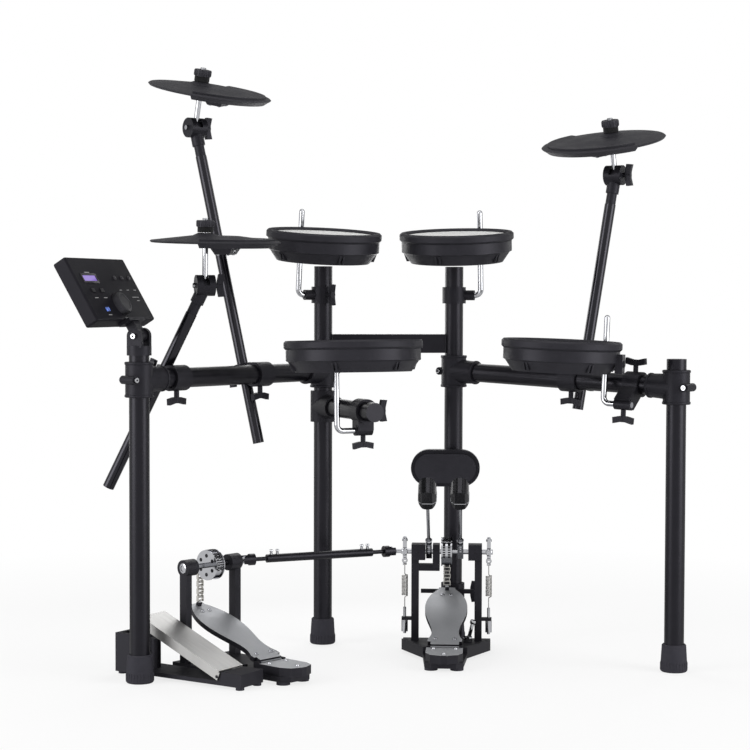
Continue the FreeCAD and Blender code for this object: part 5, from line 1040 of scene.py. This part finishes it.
# Beaters: glossy black barrels with round ends on chrome rods.
# A bright band runs round each head, where its two halves meet.
beater_gloss = moulded(
    "beater_gloss", colour=(0.0065, 0.0065, 0.007, 1), tint=(0.011, 0.011, 0.0118, 1), rough=(0.16, 0.28),
    scale=400.0, depth=0.03, worn_colour=(0.04, 0.04, 0.042, 1), worn=0.2, dusty=0.05, specular=0.35,
)
beater_reach, beater_half, beater_deep_half, beater_round = 0.188, 0.018, 0.019, 0.0215
beater_rod, beater_rod_slack = 0.0032, 1.2
band_high, band_drop, band_turns = 0.0011, 0.009, 64
band_steps = ((-0.0003, -1), (0.0003, -1), (0.0007, 0), (0.0003, 1), (-0.0003, 1))
for axle_name in hubs:
    foot, across, rod_up, rod_out = hub_axes(axle_name)
    middle = foot + rod_up * (beater_reach - band_drop)
    beater = axle_name.replace("axle", "beater")
    dress(beater, chrome, beater_gloss)
    offsets = face_data(beater, "center") - np.array(foot)
    away = np.linalg.norm(np.cross(offsets, np.array(rod_up)), axis=1)
    paint_faces(beater, away > beater_rod * beater_rod_slack, 1)

    def beater_band(shape):
        loops = []
        for grow, rise in band_steps:
            loop = []
            for number in range(band_turns):
                angle = 2 * math.pi * number / band_turns
                x, y = math.cos(angle), math.sin(angle)
                flat = 1 / max(abs(x) / beater_half, abs(y) / beater_deep_half)
                reach = min(flat, beater_round) + grow
                spot = middle + across * x * reach - rod_out * y * reach + rod_up * rise * band_high
                loop.append(shape.verts.new(spot))
            loops.append(loop)
        stitched(shape, loops, ring=True)

    added(axle_name + "_beater_band", chrome, axle_name, "chrome", beater_band, smooth_deg=30.0)


# Chains and springs: roller chains and coil springs of nickel-plated steel, hazed at random, with a painted
# dark reflection at side-on edges.
# A chain runs from each footboard over its cam, and a spring pulls each beater's axle back.
# This rim colour is the painted dark reflection at the steel's side-on edges.
steel_painted_dark_edge = (0.2, 0.19, 0.18, 1)
chain_steel = plated(
    "chain_steel", colour=(0.5, 0.49, 0.46, 1), tint=(0.36, 0.35, 0.33, 1), rough=(0.2, 0.38),
    rim=steel_painted_dark_edge, depth=0.03,
)
spring_steel = plated(
    "spring_steel", colour=(0.36, 0.355, 0.345, 1), tint=(0.3, 0.295, 0.285, 1), rough=(0.2, 0.3),
    rim=steel_painted_dark_edge, depth=0.01,
)
for chain in ("main_chain", "side_chain"):
    dress(chain, chain_steel)
for spring in ("main_spring", "left_spring"):
    dress(spring, spring_steel)


# Drive shaft: a black coated tube over a steel rod, with a universal joint at each end.
# Bright screws clamp the tube on the rod, so that its length can be set.
dress("drive_shaft", tube_coat, chrome)
screw_low, joint_long, screw_apart = 0.0092, 0.03, 0.003
screw_profile = [
    (0.0022, -0.001), (0.0022, 0.0012), (0.0034, 0.002), (0.0037, 0.0048), (0.0028, 0.0062), (0.0004, 0.0065),
]
shaft_axis, shaft_spot = (np.array(joints["drive_shaft_turn"][label]) for label in ("axis", "pos_m"))
offsets = face_data("drive_shaft", "center") - shaft_spot
along = offsets @ shaft_axis
outward = offsets - np.outer(along, shaft_axis)
away = np.linalg.norm(outward, axis=1)
on_screw = (away > screw_low) & (along > along.min() + joint_long) & (along < along.max() - joint_long)
paint_faces("drive_shaft", on_screw, 1)
screw_along = np.sort(along[on_screw])
screw_groups = np.split(screw_along, np.flatnonzero(np.diff(screw_along) > screw_apart) + 1)
screw_out = Vector(outward[on_screw].mean(axis=0)).normalized()
screw_foot = Vector(shaft_spot) + screw_out * away[on_screw].max()
screws = [
    (screw_foot + Vector(shaft_axis * (group.min() + group.max()) / 2), screw_out) for group in screw_groups
]
added("shaft_screws", chrome, "drive_shaft", "chrome", studs(screw_profile, screws, turns=18), smooth_deg=45.0)


# Hi-hat pedal: a black moulded base with rubber feet, and a brushed metal treadle on a pin.
# The treadle's sides are folded down, and it is rolled round the pin at the heel.
brushed, given, result = effect("brushed_lines", {
    "Along": (1, 0, 0), "Across": (0, 1, 0), "Colour": (0.5, 0.5, 0.5, 1), "Tint": (0.4, 0.4, 0.4, 1),
}, ("Colour", "Roughness", "Height"))
place = own_place(brushed)
run, row = (vector_of(brushed, "DOT_PRODUCT", place, given[label]) for label in ("Along", "Across"))
lines_at = step(brushed, "CombineXYZ", {
    "X": sum_of(brushed, "MULTIPLY", run, 14.0), "Y": sum_of(brushed, "MULTIPLY", row, 1500.0),
}).outputs[0]
line = noise(brushed, lines_at, scale=1.0, detail=4.0)
feed(brushed, result, {
    "Colour": blend_colour(brushed, spread(brushed, line, 0.3, 0.7), given["Tint"], given["Colour"]),
    "Roughness": spread(brushed, line, 0.3, 0.7, 0.54, 0.42),
    "Height": line,
})
treadle_metal, tree, skin = blank("treadle_metal")
pin_axis = Vector(joints["hihat_press"]["axis"])
base = placed(
    tree, brushed, along=upward.cross(pin_axis), across=pin_axis,
    colour=(0.38, 0.376, 0.37, 1), tint=(0.29, 0.287, 0.282, 1),
)
feed(tree, skin, {
    "Base Color": base["Colour"], "Roughness": base["Roughness"],
    "Normal": bumped(tree, base["Height"], strength=0.06, distance=0.0002), "Metallic": 1.0,
})
dress("hihat_treadle", treadle_metal)
base_plastic = moulded(
    "base_plastic", colour=(0.0125, 0.0122, 0.0152, 1), tint=(0.021, 0.0205, 0.025, 1), rough=(0.5, 0.65),
    scale=1000.0, depth=0.25, worn_colour=(0.06, 0.06, 0.062, 1), worn=0.35, dusty=0.18, specular=0.2,
)
dress_solids("hihat_base", (base_plastic, boot_rubber), lambda group: int(group["span"] < foot_span))


# Sound module: a moulded case on a folding bracket, with a lit display, a dial, keys and indicator lamps.
# Its front panel has fine grain and small white printed marks.
module_plastic = moulded(
    "module_plastic", colour=(0.0062, 0.006, 0.0078, 1), tint=(0.0098, 0.0095, 0.012, 1), rough=(0.42, 0.52),
    scale=1500.0, depth=0.2, worn_colour=(0.04, 0.04, 0.043, 1), worn=0.3, dusty=0.04, specular=0.1,
)
lamp_plastic = moulded(
    "lamp_plastic", colour=(0.02, 0.018, 0.02, 1), tint=(0.032, 0.03, 0.032, 1), rough=(0.2, 0.35),
    scale=600.0, depth=0.05, worn_colour=(0.06, 0.06, 0.06, 1), worn=0.2, dusty=0.05, specular=0.4,
)
lamp_span = 0.03
dress_solids("module_case", (module_plastic, lamp_plastic), lambda group: int(group["span"] < lamp_span))
dress("module_bracket", casting_black)
key_plastic = moulded(
    "key_plastic", colour=(0.013, 0.013, 0.0145, 1), tint=(0.02, 0.02, 0.022, 1), rough=(0.3, 0.42),
    scale=1200.0, depth=0.1, worn_colour=(0.06, 0.06, 0.062, 1), worn=0.3, dusty=0.05, specular=0.45,
)
for key in ("module_dial", "kit_down_key", "kit_up_key"):
    dress(key, key_plastic)
lit_display, tree, skin = blank("lit_display")
place = own_place(tree)
cells = step(tree, "TexChecker", {"Vector": place, "Scale": 900.0}).outputs["Fac"]
lit = sum_of(tree, "ADD", sum_of(tree, "MULTIPLY", cells, 0.15), noise(tree, place, scale=40.0, detail=2.0))
glow_share = spread(tree, lit, 0.3, 0.8)
feed(tree, skin, {
    "Base Color": blend_colour(tree, lit, (0.04, 0.02, 0.1, 1), (0.06, 0.04, 0.14, 1)),
    "Emission Color": blend_colour(tree, glow_share, (0.2, 0.12, 0.5, 1), (0.3, 0.2, 0.62, 1)),
    "Emission Strength": 0.75, "Roughness": 0.12,
})
dress("module_screen", lit_display)
lit_key, tree, skin = blank("lit_key")
glow_share = spread(tree, noise(tree, own_place(tree), scale=220.0, detail=2.0), 0.4, 0.6)
glow = blend_colour(tree, glow_share, (0.02, 0.03, 0.09, 1), (0.12, 0.2, 0.6, 1))
feed(tree, skin, {
    "Emission Color": glow, "Base Color": glow, "Emission Strength": 0.6, "Roughness": 0.35,
})
dress("start_key", lit_key)
face_out = Vector(joints["module_dial_turn"]["axis"]).normalized()
face_out = face_out if face_out.y < 0 else -face_out
face_across = Vector(joints["module_tilt"]["axis"]).normalized()
face_across = face_across if face_across.x > 0 else -face_across
face_up = face_out.cross(face_across)
panel_axes = (face_across, face_up, face_out)
dial_spot = Vector(joints["module_dial_turn"]["pos_m"])
dial_aside, dial_drop, dial_gap = 0.003, 0.034, 0.0005
face_middle = dial_spot - face_across * dial_aside + face_up * dial_drop - face_out * dial_gap


def on_panel(across, up, proud):
    return face_middle + face_across * across + face_up * up + face_out * proud


screen_across, screen_up, screen_half, screen_tall = -0.06, 0.022, 0.0235, 0.006
bezel_half, bezel_thick, bezel_proud, bezel_ease, bezel_lap = 0.0022, 0.0008, 0.0003, 0.0006, 0.001


def screen_bezel(shape):
    for side in (-1, 1):
        row = on_panel(screen_across, screen_up + side * (screen_tall + bezel_half), bezel_proud)
        row_halves = (screen_half + 2 * bezel_half, bezel_half, bezel_thick)
        eased_box(shape, row, panel_axes, row_halves, bezel_ease)
        post = on_panel(screen_across + side * (screen_half + bezel_half), screen_up, bezel_proud)
        post_halves = (bezel_half, screen_tall + bezel_lap, bezel_thick)
        eased_box(shape, post, panel_axes, post_halves, bezel_ease)


added("screen_bezel", lamp_plastic, "module", "key_plastic", screen_bezel, smooth_deg=40.0)
button_middle, button_pitch, button_up, button_proud = 0.062, 0.0275, 0.0235, 0.0006
button_profile = [(0.0043, 0.0), (0.0041, 0.0009), (0.0032, 0.0017), (0.0016, 0.0021), (0.0002, 0.0022)]
buttons = [
    (on_panel(button_middle + number * button_pitch, button_up, button_proud), face_out)
    for number in (-1, 0, 1)
]
added(
    "round_buttons", key_plastic, "module", "key_plastic",
    studs(button_profile, buttons, turns=28),
    smooth_deg=60.0,
)
dial_radius, dial_high, grip_count = 0.023, 0.01, 36
grip_sunk, grip_low, grip_lean = 0.0009, 0.0012, 0.0025
grip_rib = [(0.0004, 0.0), (0.0009, 0.0006), (0.0009, 0.0066), (0.0004, 0.0074)]
dial_ring = [(0.0165, -0.0003), (0.0178, -0.0003), (0.0178, 0.0004), (0.0171, 0.0008), (0.0165, 0.0004)]
dial_mark, dial_mark_halves, dial_mark_ease = 0.0125, (0.0007, 0.0032, 0.0005), 0.0003
dial_crown = dial_spot + face_out * dial_high
dial_grips = [
    (dial_spot + out * (dial_radius - grip_sunk) + face_out * grip_low, face_out * dial_high - out * grip_lean)
    for out in around(face_out, face_up, grip_count)
]


def dial_pointer(shape):
    eased_box(shape, dial_crown + face_up * dial_mark, panel_axes, dial_mark_halves, dial_mark_ease)


added(
    "dial_grip", key_plastic, "module_dial", "key_plastic",
    studs(grip_rib, dial_grips, turns=6),
    studs(dial_ring, [(dial_crown, face_out)], turns=48, ring=True),
    dial_pointer,
    smooth_deg=45.0,
)
print_white = moulded(
    "print_white", colour=(0.3, 0.3, 0.3, 1), tint=(0.42, 0.42, 0.42, 1), rough=(0.5, 0.6),
    scale=900.0, depth=0.05, worn_colour=(0.3, 0.3, 0.3, 1), worn=0.1, dusty=0.0, specular=0.3,
)
panel_marks = (
    (-0.072, -0.0195, 0.0065), (-0.039, -0.0195, 0.0065), (0.0345, -0.003, 0.0045), (0.062, -0.003, 0.0045),
    (0.0895, -0.003, 0.0045), (-0.055, -0.0555, 0.006), (0.078, -0.0185, 0.0125), (0.082, -0.026, 0.005),
    (-0.06, 0.0345, 0.009), (0.003, -0.0625, 0.007),
)
mark_proud, mark_tall, mark_thick, mark_ease = 0.0001, 0.00065, 0.00012, 0.00005


def printed_marks(shape):
    for across, up, half in panel_marks:
        eased_box(shape, on_panel(across, up, mark_proud), panel_axes, (half, mark_tall, mark_thick), mark_ease)


added("panel_marks", print_white, "module", "module_plastic", printed_marks, smooth_deg=40.0)
case_thick, case_screw_across, case_screw_up, case_screw_radius = 0.029, 0.099, 0.056, 0.0033
socket_count, socket_first, socket_pitch, socket_up, socket_hole = 9, -0.09, 0.0225, 0.036, 0.0033
jack_sockets, jack_socket_radius, small_socket_radius = 7, 0.0062, 0.0048
vent_count, vent_first, vent_pitch, vent_down = 9, -0.036, 0.009, 0.012
vent_halves, vent_ease = (0.0016, 0.013, 0.0004), 0.0002
sockets = [
    (on_panel(socket_first + socket_pitch * number, socket_up, -case_thick), -face_out)
    for number in range(socket_count)
]
case_screws = [
    (on_panel(across * case_screw_across, up * case_screw_up, -case_thick), -face_out)
    for across in (-1, 1) for up in (-1, 1)
]


# The vent slots are thin dark blocks on the back of the case: painted shade where the slots are.
def vent_shades(shape):
    for number in range(vent_count):
        spot = on_panel(vent_first + vent_pitch * number, -vent_down, -case_thick)
        eased_box(shape, spot, panel_axes, vent_halves, vent_ease)


# The socket holes are flat dark discs inside their nuts: painted shade.
added(
    "rear_sockets", dark_parts_and_painted_shade, "module", "module_plastic",
    ring_nuts(jack_socket_radius, sockets[:jack_sockets]),
    ring_nuts(small_socket_radius, sockets[jack_sockets:]),
    hole_shade_discs(socket_hole, sockets, turns=18),
    pan_screws(case_screw_radius, case_screws),
    vent_shades,
    smooth_deg=45.0,
)


# Studio: a pale floor, a tall soft light on each side in front, strips and a small panel behind, one overhead.
# The backdrop is plain white, and the camera stands where the photograph was taken.
def shown_rays(tree):
    path = step(tree, "LightPath").outputs
    direct = sum_of(tree, "MAXIMUM", path["Is Camera Ray"], path["Is Glossy Ray"])
    return sum_of(tree, "MAXIMUM", direct, path["Is Transmission Ray"])


white = (1, 1, 1, 1)
pale_floor = bpy.data.materials.new("pale_floor")
tree = cleared(pale_floor)
floor_near, floor_far, floor_shown = 0.7, 1.8, 0.78
clear = spread(tree, vector_of(tree, "LENGTH", own_place(tree)), floor_near, floor_far, floor_shown, 1.0)
paper = step(tree, "BsdfDiffuse", {"Color": (0.92, 0.92, 0.92, 1)}).outputs[0]
glow = step(tree, "Emission", {"Color": white, "Strength": 1.0}).outputs[0]
floor_share = sum_of(tree, "MULTIPLY", shown_rays(tree), clear)
mixed = step(tree, "MixShader", {0: floor_share, 1: paper, 2: glow}).outputs[0]
step(tree, "OutputMaterial", {"Surface": mixed})
floor_half, floor_drop = 30.0, 0.0005
floor_mesh = bpy.data.meshes.new("studio_floor")
floor_corners = [(x * floor_half, y * floor_half, 0) for x, y in ((-1, -1), (1, -1), (1, 1), (-1, 1))]
floor_mesh.from_pydata(floor_corners, [], [(0, 1, 2, 3)])
floor_mesh.materials.append(pale_floor)
studio_floor = linked("studio_floor", floor_mesh)
studio_floor.location.z = -floor_drop

world = bpy.data.worlds.new("studio_white")
bpy.context.scene.world = world
tree = cleared(world)
fill_strength = 0.31
fill = step(tree, "Background", {"Color": white, "Strength": fill_strength}).outputs[0]
backdrop = step(tree, "Background", {"Color": white, "Strength": 1.0}).outputs[0]
mixed = step(tree, "MixShader", {0: shown_rays(tree), 1: fill, 2: backdrop}).outputs[0]
step(tree, "OutputWorld", {"Surface": mixed})

camera_spot = Vector((-0.4259, -3.6712, 0.7248))
camera_turn, camera_fall, camera_roll = math.radians(6.65), math.radians(2.435), math.radians(0.16)
look = Vector((
    math.sin(camera_turn) * math.cos(camera_fall), math.cos(camera_turn) * math.cos(camera_fall),
    -math.sin(camera_fall),
))
aim_point = Vector((0.0, 0.0, 0.6))
lights = (
    ("right_panel", -62.0, 3.4, 1.1, 2.0, 2.8, 86.0),
    ("left_panel", 62.0, 3.4, 1.1, 2.0, 2.8, 86.0),
    ("rear_right_strip", -140.0, 2.8, 1.2, 0.6, 2.2, 9.0),
    ("rear_left_strip", 140.0, 2.8, 1.2, 0.6, 2.2, 9.0),
    ("rear_panel", 173.35, 0.66, 0.72, 0.7, 0.42, 3.4),
    ("overhead", 10.0, 0.3, 2.9, 2.4, 2.0, 17.0),
)
for label, turn_deg, away, height, wide, tall, power in lights:
    lamp = bpy.data.lights.new(label, "AREA")
    lamp.shape = "RECTANGLE"
    lamp.size = wide
    lamp.size_y = tall
    lamp.energy = power
    held = linked(label, lamp)
    heading = camera_turn + math.pi + math.radians(turn_deg)
    held.location = (math.sin(heading) * away, math.cos(heading) * away, height)
    held.rotation_euler = (aim_point - held.location).to_track_quat("-Z", "Y").to_euler()
    held.visible_camera = False

lens = bpy.data.cameras.new("photo_camera")
lens.sensor_width = 36.0
lens.lens = 90.69
camera = linked("photo_camera", lens)
camera.matrix_world = (
    Matrix.Translation(camera_spot)
    @ look.to_track_quat("-Z", "Y").to_matrix().to_4x4()
    @ Matrix.Rotation(camera_roll, 4, "Z")
)
bpy.context.scene.camera = camera
bpy.context.scene.view_settings.view_transform = "Standard"
